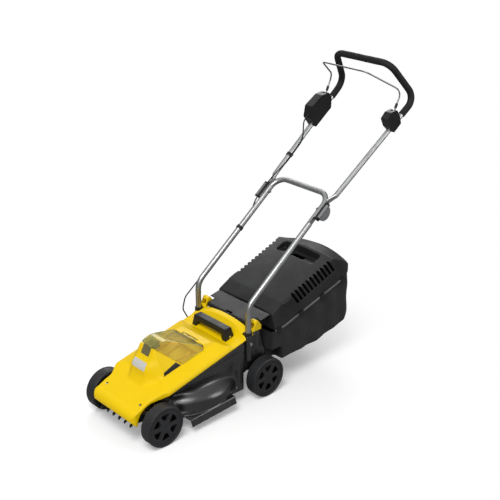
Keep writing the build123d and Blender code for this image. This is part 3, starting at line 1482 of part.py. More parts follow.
with BuildPart() as rear_flap:
    with BuildSketch(flap_axis_plane):
        Circle(FLAP_BARREL)
    extrude(amount=FLAP_HALF, both=True)
    with BuildSketch(Plane.YZ):
        with BuildLine():
            Polyline(
                (FLAP_PIN_Y, flap_z(FLAP_PIN_Y)),
                (FLAP_END_Y, flap_z(FLAP_END_Y)),
                (FLAP_END_Y, flap_z(FLAP_END_Y) - FLAP_THICK),
                (FLAP_PIN_Y, flap_z(FLAP_PIN_Y) - FLAP_THICK),
                close=True,
            )
        make_face()
    extrude(amount=FLAP_HALF, both=True)
    with BuildSketch(Plane.YZ):
        with BuildLine():
            Polyline(
                (EAR_REAR + 2, flap_z(EAR_REAR + 2)),
                (FLAP_END_Y, flap_z(FLAP_END_Y)),
                (FLAP_END_Y, flap_z(FLAP_END_Y) - FLAP_THICK),
                (EAR_REAR + 2, flap_z(EAR_REAR + 2) - FLAP_THICK),
                close=True,
            )
        make_face()
    extrude(amount=FLAP_WIDE, both=True)
    with BuildSketch(flap_axis_plane):
        Circle(FLAP_PIN_RADIUS + RUN_GAP)
    extrude(amount=FLAP_HALF, both=True, mode=Mode.SUBTRACT)
    with BuildSketch(flap_axis_plane):
        Circle(FLAP_BARREL + 1)
    extrude(amount=16, both=True, mode=Mode.SUBTRACT)
save(rear_flap.part, "rear_flap")

with BuildPart() as flap_hinge_pin:
    with BuildSketch(flap_axis_plane):
        Circle(FLAP_PIN_RADIUS)
    extrude(amount=EAR_INNER + EAR_WALL, both=True)
save(flap_hinge_pin.part, "flap_hinge_pin")

with BuildPart() as flap_spring:
    with BuildLine() as coil:
        Helix(
            pitch=3.6,
            height=25.2,
            radius=FLAP_PIN_RADIUS + 1.7,
            center=(-12.6, FLAP_PIN_Y, FLAP_PIN_Z),
            direction=(1, 0, 0),
        )
    with BuildSketch(Plane(origin=coil.line @ 0, z_dir=coil.line % 0)):
        Circle(1)
    sweep(is_frenet=True)
save(flap_spring.part, "flap_spring")

# Grass catcher: frame, lid and bag
with BuildPart() as catcher_frame:
    with BuildSketch(Plane.XZ.offset(-FRAME_FRONT)):
        with Locations((0, (FRAME_BOTTOM + FRAME_TOP) / 2)):
            RectangleRounded(2 * FRAME_HALF, FRAME_TOP - FRAME_BOTTOM, 8)
        with Locations((0, (FRAME_BOTTOM + 254) / 2 + FRAME_BAR / 2)):
            Rectangle(2 * (FRAME_HALF - FRAME_SIDE), 254 - FRAME_BOTTOM - FRAME_BAR, mode=Mode.SUBTRACT)
        with Locations((-FRAME_HALF - 6.5, 245.7), (FRAME_HALF + 6.5, 245.7)):
            Rectangle(15, 6.6)
    extrude(amount=-FRAME_THICK)
save(catcher_frame.part, "catcher_frame")


def along_lid(y, column):
    """Value of a column of the lid's stations at a distance back."""
    for near, far in zip(LID_STATIONS, LID_STATIONS[1:]):
        if y <= far[0]:
            return near[column] + (y - near[0]) * (far[column] - near[column]) / (far[0] - near[0])
    return LID_STATIONS[-1][column]


def rail_z(y):
    """Height of the lid's rail."""
    return along_lid(y, 1)


def crease_z(y):
    """Height of the crease between the lid's top and its side."""
    return along_lid(y, 3)


def catcher_plan(half, rear, corner):
    """Plan of the catcher, with its two rear corners rounded."""
    with BuildPart() as form:
        with BuildSketch(Plane.XY) as plan:
            with BuildLine():
                Polyline((-half, 200), (half, 200), (half, rear), (-half, rear), close=True)
            make_face()
            fillet(plan.vertices().group_by(Axis.Y)[-1], corner)
        extrude(amount=600)
    return form.part


def catcher_shell(inset, drop):
    """Catcher lid without its neck; inset and drop give the inner face."""
    rear = LID_STATIONS[-1][0]
    with BuildPart() as form:
        for number, (y, rail, crease_x, crease, crown) in enumerate(LID_STATIONS):
            shift = inset if number == 0 else (-inset if number == len(LID_STATIONS) - 1 else 0)
            with BuildSketch(Plane.XZ.offset(-(y + shift))):
                with BuildLine():
                    Polyline(
                        (inset * 0.9 - crease_x, crease - inset),
                        (inset - RAIL_X, rail),
                        (inset - RAIL_X, rail - drop),
                        (RAIL_X - inset, rail - drop),
                        (RAIL_X - inset, rail),
                        (crease_x - inset * 0.9, crease - inset),
                    )
                    ThreePointArc(
                        (crease_x - inset * 0.9, crease - inset),
                        (0, crown - inset),
                        (inset * 0.9 - crease_x, crease - inset),
                    )
                make_face()
        loft(ruled=True)
        add(catcher_plan(RAIL_X - inset, rear - inset, CATCHER_CORNER - inset), mode=Mode.INTERSECT)
    return form.part


def grip_recess(grow):
    """Hand recess in the catcher lid."""
    with BuildPart() as form:
        with BuildSketch(Plane.XY.offset(404 - grow)):
            with Locations((0, 562)):
                RectangleRounded(196 + 2 * grow, 52 + 2 * grow, 14 + grow)
        extrude(amount=80)
    return form.part


with BuildPart() as lid_inside:
    add(catcher_shell(CATCHER_WALL, 40))
    add(grip_recess(CATCHER_WALL), mode=Mode.SUBTRACT)

with BuildPart() as catcher_lid:
    add(catcher_shell(0, 4))
    add(grip_recess(0), mode=Mode.SUBTRACT)
    add(lid_inside.part, mode=Mode.SUBTRACT)
    with BuildSketch(Plane.YZ):
        with BuildLine():
            Polyline((NECK_FRONT, 250), (NECK_FRONT, NECK_TOP), (287, NECK_TOP + 9), (287, 250), close=True)
        make_face()
    extrude(amount=NECK_HALF, both=True)
    with BuildSketch(Plane.YZ):
        with BuildLine():
            Polyline(
                (NECK_FRONT - 1, 240),
                (NECK_FRONT - 1, NECK_TOP - CATCHER_WALL),
                (290, NECK_TOP + 9 - CATCHER_WALL),
                (290, 240),
                close=True,
            )
        make_face()
    extrude(amount=NECK_HALF - CATCHER_WALL, both=True, mode=Mode.SUBTRACT)
    with BuildSketch(Plane.XY.offset(380)):
        with Locations((0, 562)):
            RectangleRounded(62, 30, 8)
    extrude(amount=40, mode=Mode.SUBTRACT)
    # Louvres that notch both creases, with a pad ahead of them
    for side in (-1, 1):
        with BuildSketch(Plane.YZ.offset(side * (CREASE_X - LOUVRE_DEPTH))):
            with BuildLine():
                Polyline((337, 330), (376, 344), (396, 319), (361, 311), close=True)
            make_face()
        extrude(amount=side * (LOUVRE_DEPTH + 6))
        with BuildSketch(Plane.YZ.offset(side * (CREASE_X - LOUVRE_DEPTH))):
            for slot in range(LOUVRE_COUNT):
                louvre_y = LOUVRE_START + slot * LOUVRE_PITCH
                with Locations((louvre_y, crease_z(louvre_y))):
                    Polygon((0, 5), (8, 8), (35, -36), (27, -39), align=None)
        extrude(amount=side * 40, mode=Mode.SUBTRACT)
save(catcher_lid.part, "catcher_lid")


def bag_form(inset, lift):
    """Fabric bag; inset and lift give the inner face, open at the front and the top."""
    front = BAG_FRONT - lift
    with BuildPart() as form:
        with BuildSketch(Plane.YZ):
            with BuildLine():
                Polyline(
                    (front, 104 + inset),
                    (325, 111 + inset),
                    (501, 117 + inset),
                    (668 - inset * 0.5, 153 + inset),
                    (693 - inset, 191 + inset * 0.5),
                    (690 - inset, rail_z(690) - RAIL_LAP + lift),
                    (660, rail_z(660) - RAIL_LAP + lift),
                    (601, rail_z(601) - RAIL_LAP + lift),
                    (335, rail_z(335) - RAIL_LAP + lift),
                    (285, rail_z(285) - RAIL_LAP + lift),
                    (front, 246 + lift),
                    close=True,
                )
            make_face()
        extrude(amount=BAG_HALF, both=True)
        with BuildSketch(Plane.XY) as plan:
            with BuildLine():
                Polyline(
                    (0, front),
                    (BAG_NECK_HALF - inset, front),
                    (BAG_NECK_HALF - inset, 268 + inset),
                    (BAG_HALF - inset, 271 + inset),
                    (BAG_HALF - inset, 720),
                    (0, 720),
                )
                mirror(about=Plane.YZ)
            make_face()
        extrude(amount=600, mode=Mode.INTERSECT)
        add(catcher_plan(BAG_HALF - inset, 693 - inset, CATCHER_CORNER - inset), mode=Mode.INTERSECT)
        for side in (-1, 1):
            with BuildSketch(Plane.XY):
                with Locations((side * (WHEEL_ROOM_X - inset + 40), WHEEL_ROOM_Y + inset - 60)):
                    Rectangle(80, 120)
            extrude(amount=WHEEL_ROOM_Z + inset, mode=Mode.SUBTRACT)
    return form.part


with BuildPart() as catcher_bag:
    add(bag_form(0, 0))
    add(bag_form(BAG_WALL, 12), mode=Mode.SUBTRACT)
save(catcher_bag.part, "catcher_bag")

rail_end = LID_STATIONS[-1][0] - CATCHER_CORNER - 4
with BuildPart() as bag_rails:
    for side in (-1, 1):
        with BuildSketch(Plane.YZ.offset(side * (RAIL_X + 0.1))):
            with BuildLine():
                Polyline(
                    (287, rail_z(287) - 1),
                    (335, rail_z(335) - 1),
                    (601, rail_z(601) - 1),
                    (rail_end, rail_z(rail_end) - 1),
                    (rail_end, rail_z(rail_end) - 8),
                    (601, rail_z(601) - 8),
                    (335, rail_z(335) - 8),
                    (287, rail_z(287) - 8),
                    close=True,
                )
            make_face()
        extrude(amount=side * 3)
save(bag_rails.part, "bag_rails")

with BuildPart() as catcher_clips:
    for side in (-1, 1):
        with BuildSketch(Plane.YZ.offset(side * (RAIL_X + 3.2))):
            for y_clip in (302, 416, 526, rail_end - 14):
                slope = math.degrees(math.atan((rail_z(y_clip + 10) - rail_z(y_clip - 10)) / 20))
                with Locations((y_clip, rail_z(y_clip) - 5)):
                    Rectangle(24, 14, rotation=slope)
        extrude(amount=side * 2.8)
save(catcher_clips.part, "catcher_clips")
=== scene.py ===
"""Looks of a push lawn mower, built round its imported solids. All sizes are in metres."""
import math

import bmesh
import bpy
import numpy as np
from mathutils import Matrix, Vector


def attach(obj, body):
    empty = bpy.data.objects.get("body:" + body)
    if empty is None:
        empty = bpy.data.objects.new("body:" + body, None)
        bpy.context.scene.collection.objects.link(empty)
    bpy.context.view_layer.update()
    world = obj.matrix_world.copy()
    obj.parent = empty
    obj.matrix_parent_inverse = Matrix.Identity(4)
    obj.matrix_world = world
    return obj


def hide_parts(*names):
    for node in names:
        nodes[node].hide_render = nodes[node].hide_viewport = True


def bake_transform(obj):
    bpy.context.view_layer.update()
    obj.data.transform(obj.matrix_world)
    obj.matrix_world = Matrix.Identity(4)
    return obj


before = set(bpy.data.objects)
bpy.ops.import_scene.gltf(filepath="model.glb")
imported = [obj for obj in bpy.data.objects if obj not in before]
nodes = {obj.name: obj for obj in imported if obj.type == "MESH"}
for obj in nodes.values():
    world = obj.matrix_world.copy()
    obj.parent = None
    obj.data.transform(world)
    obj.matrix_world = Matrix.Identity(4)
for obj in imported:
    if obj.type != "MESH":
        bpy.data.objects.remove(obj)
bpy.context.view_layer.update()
scene = bpy.context.scene
scene.view_settings.view_transform = "Standard"

# Camera at the photograph's angle
CAMERA_AT = (2.4678, -1.9561, 1.9733)
CAMERA_YAW = 47.419
CAMERA_PITCH = 23.665
CAMERA_LENS = 72.18
SENSOR = 36.0

camera_data = bpy.data.cameras.new("camera")
camera_data.lens = CAMERA_LENS
camera_data.sensor_width = SENSOR
camera_data.clip_end = 50
camera = bpy.data.objects.new("camera", camera_data)
camera.location = CAMERA_AT
camera.rotation_euler = (math.radians(90 - CAMERA_PITCH), 0, math.radians(CAMERA_YAW))
scene.collection.objects.link(camera)
scene.camera = camera


# Materials
class Nodes:
    """Small helper round one material's node tree."""

    def __init__(self, name):
        self.material = bpy.data.materials.new(name)
        self.material.use_nodes = True
        self.tree = self.material.node_tree
        self.shader = self.tree.nodes["Principled BSDF"]
        self.place = self.add("ShaderNodeTexCoord").outputs["Object"]

    def add(self, kind, **values):
        node = self.tree.nodes.new(kind)
        for key, value in values.items():
            setattr(node, key, value)
        return node

    def link(self, a, b):
        self.tree.links.new(a, b)

    def noise(self, scale, detail=3.0, rough=0.55, stretch=None):
        node = self.add("ShaderNodeTexNoise")
        node.inputs["Scale"].default_value = scale
        node.inputs["Detail"].default_value = detail
        node.inputs["Roughness"].default_value = rough
        source = self.place
        if stretch:
            mapping = self.add("ShaderNodeMapping")
            mapping.inputs["Scale"].default_value = stretch
            self.link(source, mapping.inputs["Vector"])
            source = mapping.outputs["Vector"]
        self.link(source, node.inputs["Vector"])
        return node.outputs["Fac"]

    def spread(self, value, low, high, start=0.3, end=0.7):
        """Stretch a value from start..end to low..high."""
        node = self.add("ShaderNodeMapRange")
        node.inputs["From Min"].default_value = start
        node.inputs["From Max"].default_value = end
        node.inputs["To Min"].default_value = low
        node.inputs["To Max"].default_value = high
        self.link(value, node.inputs["Value"])
        return node.outputs["Result"]

    def math(self, kind, a, b=None):
        node = self.add("ShaderNodeMath", operation=kind)
        for k, value in enumerate((a, b)):
            if value is None:
                continue
            if isinstance(value, (int, float)):
                node.inputs[k].default_value = value
            else:
                self.link(value, node.inputs[k])
        return node.outputs["Value"]

    def edges(self, radius):
        """1 along an edge, 0 on a flat: where a painted highlight lightens the surface's edges."""
        bevel = self.add("ShaderNodeBevel", samples=4)
        bevel.inputs["Radius"].default_value = radius
        flat = self.add("ShaderNodeNewGeometry").outputs["Normal"]
        dot = self.add("ShaderNodeVectorMath", operation="DOT_PRODUCT")
        self.link(bevel.outputs["Normal"], dot.inputs[0])
        self.link(flat, dot.inputs[1])
        return self.spread(self.math("SUBTRACT", 1.0, dot.outputs["Value"]), 0.0, 1.0, 0.02, 0.3)

    def two_colours(self, value, first, second):
        """Base colour between two colours, given by a value."""
        node = self.add("ShaderNodeMix", data_type="RGBA")
        for socket in node.inputs:
            if socket.type == "RGBA":
                socket.default_value = (*(first if socket.name == "A" else second), 1)
        self.link(value, node.inputs["Factor"])
        out = [s for s in node.outputs if s.type == "RGBA"][0]
        self.link(out, self.shader.inputs["Base Color"])

    def bump(self, height, strength, distance, soft=0.0):
        node = self.add("ShaderNodeBump")
        node.inputs["Strength"].default_value = strength
        node.inputs["Distance"].default_value = distance
        self.link(height, node.inputs["Height"])
        if soft:
            bevel = self.add("ShaderNodeBevel", samples=4)
            bevel.inputs["Radius"].default_value = soft
            self.link(bevel.outputs["Normal"], node.inputs["Normal"])
        self.link(node.outputs["Normal"], self.shader.inputs["Normal"])

    def roughness(self, value, low, high):
        self.link(self.spread(value, low, high), self.shader.inputs["Roughness"])


def scaled(colour, factor):
    """A colour made lighter or darker."""
    return tuple(min(1.0, c * factor) for c in colour)


def plastic(name, colour, rough, grain=900.0, depth=0.3, vary=0.12, soft=0.0012, drift_and_edge_highlight=1.7, gloss=0.3):
    """Moulded plastic: spark grain, soft colour drift, painted highlights along the edges and handling marks
    in the gloss.
    """
    n = Nodes(name)
    drift = n.spread(n.noise(9.0, 4.0), 0.0, 0.55)
    # Colour drifts at random towards the lighter tone, and reaches it along the edges as a painted highlight
    n.two_colours(n.math("MAXIMUM", drift, n.edges(0.0016)), scaled(colour, 1 - vary), scaled(colour, drift_and_edge_highlight))
    n.roughness(n.noise(26.0, 5.0), rough - 0.05, rough + 0.07)
    n.bump(n.noise(grain, 2.0), depth, 0.0002, soft)
    n.shader.inputs["Specular IOR Level"].default_value = gloss
    return n.material


def metal(name, colour, rough, streak=(1, 1, 1), depth=0.08):
    """Drawn or rolled metal with fine streaks and a faint mottled coat."""
    n = Nodes(name)
    n.two_colours(n.spread(n.noise(30.0, 4.0), 0.0, 1.0), scaled(colour, 0.88), scaled(colour, 1.08))
    n.roughness(n.noise(60.0, 4.0, 0.6, streak), rough - 0.06, rough + 0.08)
    if depth:
        n.bump(n.noise(420.0, 2.0, 0.5, streak), depth, 0.0002)
    n.shader.inputs["Metallic"].default_value = 1.0
    return n.material


def foam_skin(name, colour):
    """Closed-cell foam: small open pores over a matt skin, with painted shade in the pores and painted light
    on the rims between them.
    """
    n = Nodes(name)
    cells = n.add("ShaderNodeTexVoronoi")
    cells.inputs["Scale"].default_value = 700.0
    n.link(n.place, cells.inputs["Vector"])
    pores_and_shade = n.spread(cells.outputs["Distance"], 0.0, 1.0)
    # Colour follows the pores: darker in each pit as painted shade, lighter on the rims as painted light
    n.two_colours(pores_and_shade, scaled(colour, 0.6), scaled(colour, 1.25))
    n.roughness(n.noise(40.0, 4.0), 0.62, 0.8)
    n.bump(n.math("ADD", pores_and_shade, n.noise(160.0, 3.0)), 0.45, 0.0004)
    n.shader.inputs["Specular IOR Level"].default_value = 0.3
    return n.material


def weave(name, colour, scale=520.0):
    """Coated woven cloth: crossing threads, soft creases painted darker in their hollows and lighter on their
    ridges as painted shade and light, and a dull sheen.
    """
    n = Nodes(name)
    threads = []
    for axis in ("X", "Y", "Z"):
        wave = n.add("ShaderNodeTexWave", wave_type="BANDS", bands_direction=axis)
        wave.inputs["Scale"].default_value = scale
        wave.inputs["Distortion"].default_value = 0.4
        n.link(n.place, wave.inputs["Vector"])
        threads.append(wave.outputs["Fac"])
    cloth = n.math("ADD", n.math("ADD", threads[0], threads[1]), threads[2])
    creases_and_shade = n.noise(11.0, 5.0, 0.6)
    # Colour follows the creases' height: darker in the hollows as painted shade, lighter on the ridges as
    # painted light
    n.two_colours(n.spread(creases_and_shade, 0.0, 1.0), scaled(colour, 0.7), scaled(colour, 1.4))
    n.roughness(creases_and_shade, 0.55, 0.75)
    n.bump(n.math("ADD", n.math("MULTIPLY", cloth, 0.12), creases_and_shade), 0.22, 0.0010)
    n.shader.inputs["Specular IOR Level"].default_value = 0.3
    n.shader.inputs["Sheen Weight"].default_value = 0.10
    n.shader.inputs["Sheen Roughness"].default_value = 0.5
    return n.material


def clear_smoke(name):
    """Tinted clear plastic with a milky haze."""
    n = Nodes(name)
    haze = n.noise(18.0, 4.0)
    n.two_colours(n.spread(haze, 0.0, 1.0), (0.77, 0.75, 0.33), (0.86, 0.84, 0.42))
    n.roughness(haze, 0.05, 0.13)
    n.bump(n.noise(120.0, 2.0), 0.06, 0.0002, 0.002)
    n.shader.inputs["Transmission Weight"].default_value = 0.9
    n.shader.inputs["IOR"].default_value = 1.25
    return n.material


# A plastic's eighth value sets how much lighter its edges are painted, a painted highlight, and the lighter
# end of its random drift
looks = {
    "yellow": plastic("yellow_shell", (0.90, 0.61, 0.001), 0.36, 700.0, 0.10, 0.03, 0.003, 1.05, 0.22),
    "deck": plastic("black_deck", (0.0065, 0.0067, 0.0072), 0.28, 800.0, 0.12, 0.12, 0.002, 1.5, 1.0),
    "black": plastic("black_part", (0.0095, 0.0098, 0.0104), 0.40, 900.0, 0.30),
    "lid": plastic("black_catcher_lid", (0.0105, 0.0107, 0.0113), 0.42, 620.0, 0.30, 0.14, 0.0015, 3.2),
    "flap": plastic("black_flap", (0.0095, 0.0097, 0.0103), 0.40, 620.0, 0.35, 0.14, 0.0015, 2.0),
    "wheel": plastic("dark_grey_wheel", (0.0225, 0.023, 0.025), 0.47, 800.0, 0.45, 0.12, 0.0015, 1.9),
    "rail": plastic("grey_rail", (0.13, 0.131, 0.136), 0.42, 700.0, 0.3, 0.1, 0.0008),
    "lever": plastic("light_grey_lever", (0.21, 0.215, 0.225), 0.38, 800.0, 0.3, 0.08, 0.001, 1.3),
    "olive": plastic("olive_latch", (0.15, 0.133, 0.062), 0.3, 700.0, 0.15, 0.08, 0.001, 1.3),
    "red": plastic("red_button", (0.42, 0.012, 0.012), 0.35, 800.0, 0.2, 0.08, 0.0008, 1.2),
    "board": plastic("green_board", (0.012, 0.10, 0.035), 0.35, 500.0, 0.3),
    "motor": plastic("grey_motor", (0.05, 0.051, 0.053), 0.45, 700.0, 0.4),
    "cable": plastic("cable_sheath", (0.010, 0.010, 0.0105), 0.42, 500.0, 0.25),
    "clear": clear_smoke("smoky_clear"),
    "tube": metal("drawn_tube", (0.42, 0.423, 0.428), 0.36, (1, 0.12, 0.12), 0),
    "steel": metal("zinc_steel", (0.50, 0.50, 0.51), 0.32),
    "dark_steel": metal("blackened_steel", (0.06, 0.06, 0.062), 0.42),
    "wire": metal("grey_wire", (0.26, 0.26, 0.27), 0.38),
    "iron": metal("core_iron", (0.16, 0.15, 0.15), 0.5, (1, 1, 6), 0.3),
    "plate": plastic("plain_plate", (0.60, 0.59, 0.56), 0.40, 700.0, 0.1, 0.04, 0.0006, 1.1),
    "foam": foam_skin("grip_foam", (0.0105, 0.0105, 0.011)),
    "cloth": weave("bag_cloth", (0.0125, 0.0127, 0.0135)),
}

node_looks = {
    "yellow": ("top_cover", "battery_bay", "lid_hinge_pin"),
    "deck": ("deck_housing",),
    "black": (
        "carry_handle", "terminal_block", "blade_adapter", "front_axle_spacers", "rear_axle_spacers",
        "tube_collars", "clamp_pads", "bail_sleeves", "switch_box", "bail_clamp", "cable_clip_lower",
        "cable_clip_upper", "catcher_frame", "catcher_clips",
    ),
    "lid": ("catcher_lid",),
    "flap": ("rear_flap",),
    "wheel": ("wheel_front_left", "wheel_front_right", "wheel_rear_left", "wheel_rear_right"),
    "rail": ("bag_rails",),
    "lever": ("lever_left", "lever_right"),
    "olive": ("lid_latch",),
    "red": ("start_button",),
    "board": ("control_board",),
    "motor": ("motor_housing",),
    "clear": ("battery_lid",),
    "tube": ("lower_handle_frame", "upper_handle"),
    "steel": (
        "cover_screws", "carry_handle_bolts", "motor_bearings", "motor_shaft", "motor_screws",
        "blade", "blade_bolt", "front_axle", "rear_axle", "socket_bolts", "pivot_bolts", "flap_hinge_pin",
    ),
    "dark_steel": ("flap_spring",),
    "wire": ("bail_wire",),
    "iron": ("motor_stator", "motor_rotor"),
    "foam": ("foam_grip",),
    "cable": ("cable_lower", "cable_fold_loop", "cable_upper"),
    "cloth": ("catcher_bag",),
}
for look, names in node_looks.items():
    for name in names:
        slots = nodes[name].data.materials
        slots.clear()
        slots.append(looks[look])


# Pieces
def new_piece(name, mesh, body, look, slot, *replaced):
    """A finished mesh as a named piece that rides on a body."""
    obj = bpy.data.objects.new(name, mesh)
    scene.collection.objects.link(obj)
    mesh.materials.clear()
    mesh.materials.append(looks[look])
    if body:
        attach(obj, body)
    if replaced:
        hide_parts(*replaced)
    return obj


def final_mesh(obj):
    """The object's mesh with its modifiers applied; the object goes."""
    bpy.context.view_layer.update()
    mesh = bpy.data.meshes.new_from_object(obj.evaluated_get(bpy.context.evaluated_depsgraph_get()))
    bpy.data.objects.remove(obj)
    return mesh


def worked(mesh, kind, **values):
    """A mesh after one modifier."""
    obj = bpy.data.objects.new("work", mesh)
    scene.collection.objects.link(obj)
    modifier = obj.modifiers.new("work", kind)
    for key, value in values.items():
        setattr(modifier, key, value)
    return final_mesh(obj)


def points_of(mesh):
    """The mesh's points as an array with a row for each."""
    place = np.empty(len(mesh.vertices) * 3, np.float64)
    mesh.vertices.foreach_get("co", place)
    return place.reshape(-1, 3)


def relax(mesh, rounds, where=None):
    """Even out a dense mesh, so that its edges get rounded while flat faces stay flat."""
    place = points_of(mesh)
    count = len(place)
    ends = np.empty(len(mesh.edges) * 2, np.int32)
    mesh.edges.foreach_get("vertices", ends)
    first, second = ends.reshape(-1, 2).T
    near = np.maximum(np.bincount(first, minlength=count) + np.bincount(second, minlength=count), 1)
    weight = 0.5 * (where(place) if where else np.ones(count))
    for _ in range(rounds):
        for axis in range(3):
            line = place[:, axis]
            total = np.bincount(first, line[second], count) + np.bincount(second, line[first], count)
            line += weight * (total / near - line)
    mesh.vertices.foreach_set("co", place.ravel())
    mesh.update()


def soften(mesh, voxel, rounds, share, crease=30.0, melt=None, shift=None):
    """A form with rounded edges, as the mould or the cloth leaves them.

    shift moves the points; melt is a mask and the rounds that widen the hollows inside it.
    """
    mesh = worked(mesh.copy(), "REMESH", mode="VOXEL", voxel_size=voxel)
    relax(mesh, rounds)
    if shift:
        mesh.vertices.foreach_set("co", shift(points_of(mesh)).ravel())
    if melt:
        where, more = melt
        relax(mesh, more, where)
    mesh = worked(mesh, "DECIMATE", ratio=share)
    mesh.shade_smooth()
    mesh.set_sharp_from_angle(angle=math.radians(crease))
    return mesh


def ramp(value, start, end):
    """0 at start, 1 at end, smooth in between."""
    t = np.clip((value - start) / (end - start), 0, 1)
    return t * t * (3 - 2 * t)


def route_tube(name, points, radius, steps=12, sides=16):
    """Mesh tube along a smooth spline through a cable's route."""
    curve = bpy.data.curves.new(name, "CURVE")
    curve.dimensions = "3D"
    spline = curve.splines.new("NURBS")
    spline.points.add(len(points) - 1)
    for k, point in enumerate(points):
        spline.points[k].co = (*point, 1)
    spline.order_u = 3
    spline.use_endpoint_u = True
    spline.resolution_u = steps
    curve.bevel_depth = radius
    curve.bevel_resolution = sides // 4
    curve.use_fill_caps = True
    obj = bpy.data.objects.new("work", curve)
    scene.collection.objects.link(obj)
    mesh = final_mesh(obj)
    mesh.shade_smooth()
    return mesh


def turned(name, profile, place, start=0.0, sweep=360.0, steps=64):
    """A closed profile of (along, radius) points, turned about the Z axis of a place."""
    rings = steps if sweep == 360 else steps + 1
    points = []
    for k in range(rings):
        turn = math.radians(start + sweep * k / steps)
        for along_axis, radius in profile:
            points.append(place @ Vector((radius * math.cos(turn), radius * math.sin(turn), along_axis)))
    count = len(profile)
    faces = []
    for k in range(steps):
        here, there = k * count, (k + 1) % rings * count
        for j in range(count):
            following = (j + 1) % count
            faces.append((here + j, here + following, there + following, there + j))
    if rings > steps:
        faces += [tuple(range(count)), tuple(range(steps * count, rings * count))]
    mesh = bpy.data.meshes.new(name)
    mesh.from_pydata(points, [], faces)
    form = bmesh.new()
    form.from_mesh(mesh)
    bmesh.ops.recalc_face_normals(form, faces=form.faces)
    form.to_mesh(mesh)
    form.free()
    mesh.shade_smooth()
    mesh.set_sharp_from_angle(angle=math.radians(30))
    return mesh


def joined(*meshes):
    """Several meshes in one."""
    form = bmesh.new()
    for mesh in meshes:
        form.from_mesh(mesh)
    whole = bpy.data.meshes.new("joined")
    form.to_mesh(whole)
    form.free()
    return whole


# Depth that a plate reaches below the face it sits on
SLAB_SEAT = 0.0012


def slab(name, corners, normal, thick, round_by):
    """Thin plate on a face, with rounded corners and a small edge radius."""
    mesh = bpy.data.meshes.new(name)
    form = bmesh.new()
    lift = Vector(normal).normalized()
    base = [form.verts.new(Vector(c) - lift * SLAB_SEAT) for c in corners]
    face = form.faces.new(base)
    form.normal_update()
    if face.normal.dot(lift) < 0:
        face.normal_flip()
    grown = bmesh.ops.extrude_face_region(form, geom=[face])
    top = [v for v in grown["geom"] if isinstance(v, bmesh.types.BMVert)]
    bmesh.ops.translate(form, verts=top, vec=lift * (thick + SLAB_SEAT))
    bmesh.ops.recalc_face_normals(form, faces=form.faces)
    posts = [e for e in form.edges if abs((e.verts[0].co - e.verts[1].co).normalized().dot(lift)) > 0.99]
    bmesh.ops.bevel(form, geom=posts, offset=round_by, segments=5, profile=0.5, affect="EDGES")
    origin = Vector(corners[0])
    rims = [e for e in form.edges if all(abs((v.co - origin).dot(lift) - thick) < 1e-5 for v in e.verts)]
    bmesh.ops.bevel(form, geom=rims, offset=thick * 0.35, segments=3, profile=0.5, affect="EDGES")
    form.to_mesh(mesh)
    form.free()
    mesh.shade_smooth()
    mesh.set_sharp_from_angle(angle=math.radians(35))
    return mesh


# Front column of the cover's hump
COLUMN_FOOT = Vector((0, -0.222, 0.180))
COLUMN_HEAD = Vector((0, -0.167, 0.288))
SEAM_FOOT = Vector((0, -0.084, 0.217))
NOSE_END = Vector((0, -0.185, 0.187))
NOSE_RISE = 0.4746
TILT = math.radians(12.5)
SWELL = 0.008


def hump_blend(place):
    """Where the hump's foot runs into the nose and the shoulders in wide hollows, clear of the lid's seam."""
    x, y, z = place.T
    slope = (SEAM_FOOT.y - COLUMN_HEAD.y) / (COLUMN_HEAD.z - SEAM_FOOT.z)
    seam = COLUMN_HEAD.y + (COLUMN_HEAD.z - z) * slope
    ends = ramp(y, -0.275, -0.250) * ramp(y, seam - 0.006, seam - 0.020)
    nose = NOSE_END.z + (y - NOSE_END.y) * NOSE_RISE
    shoulder = SEAM_FOOT.z + (y - SEAM_FOOT.y) * math.tan(TILT)
    above = z - np.where(y < NOSE_END.y, nose, shoulder)
    flank = ramp(np.abs(x), 0.055, 0.070) * ramp(y, -0.185, -0.170)
    foot = ends * ramp(above, 0.038, 0.016) * ramp(z, 0.140, 0.160)
    return foot * ramp(np.abs(x), 0.132, 0.114) * (1 - flank)


def column_swell(place):
    """The column's front stands out a little between its foot and the latch."""
    x, y, z = place.T
    height = ramp(z, 0.188, 0.222) * ramp(z, 0.256, 0.226)
    out = place.copy()
    out[:, 1] -= SWELL * height * ramp(np.abs(x), 0.085, 0.03) * ramp(y, -0.12, -0.16)
    return out


cover = soften(nodes["top_cover"].data, 0.0013, 12, 0.10, 30.0, (hump_blend, 90), column_swell)
new_piece("cover_shell", cover, "deck", "yellow", "yellow_plastic", "top_cover")


# Deck side: a rim band under the cover, a wall that leans in below it, and the dome's round shoulder
WALL_HALF = 0.1432
WALL_CORNER = 0.040
WALL_TURN = -0.118
SOLID_CENTRE = -0.027
SOLID_RADIUS = 0.175
SOLID_SHOULDER = 0.034
SOLID_TOP = 0.135
SOLID_WALL = 0.0035
CREST_CENTRE = -0.006
CREST_HEIGHTS = (0.080, 0.090, 0.098, 0.105, 0.111, 0.116, 0.128, 0.140)
CREST_RADII = (0.180, 0.1785, 0.175, 0.169, 0.161, 0.152, 0.133, 0.115)
WALL_LEAN = 0.015
NOSE_LEAN = 0.030
RIM_STEP = 0.004
LIP_FOLD = 0.178
LIP_WIDE = 0.018
LIP_TUCK = 0.007
LIP_DROP = 0.006
HOLLOW = 0.008
EDGE = Vector((0, -0.200, 0.158))
EDGE_RISE = 0.239
DECK_VOXEL = 0.0017
SKIN_GAP = 0.0004


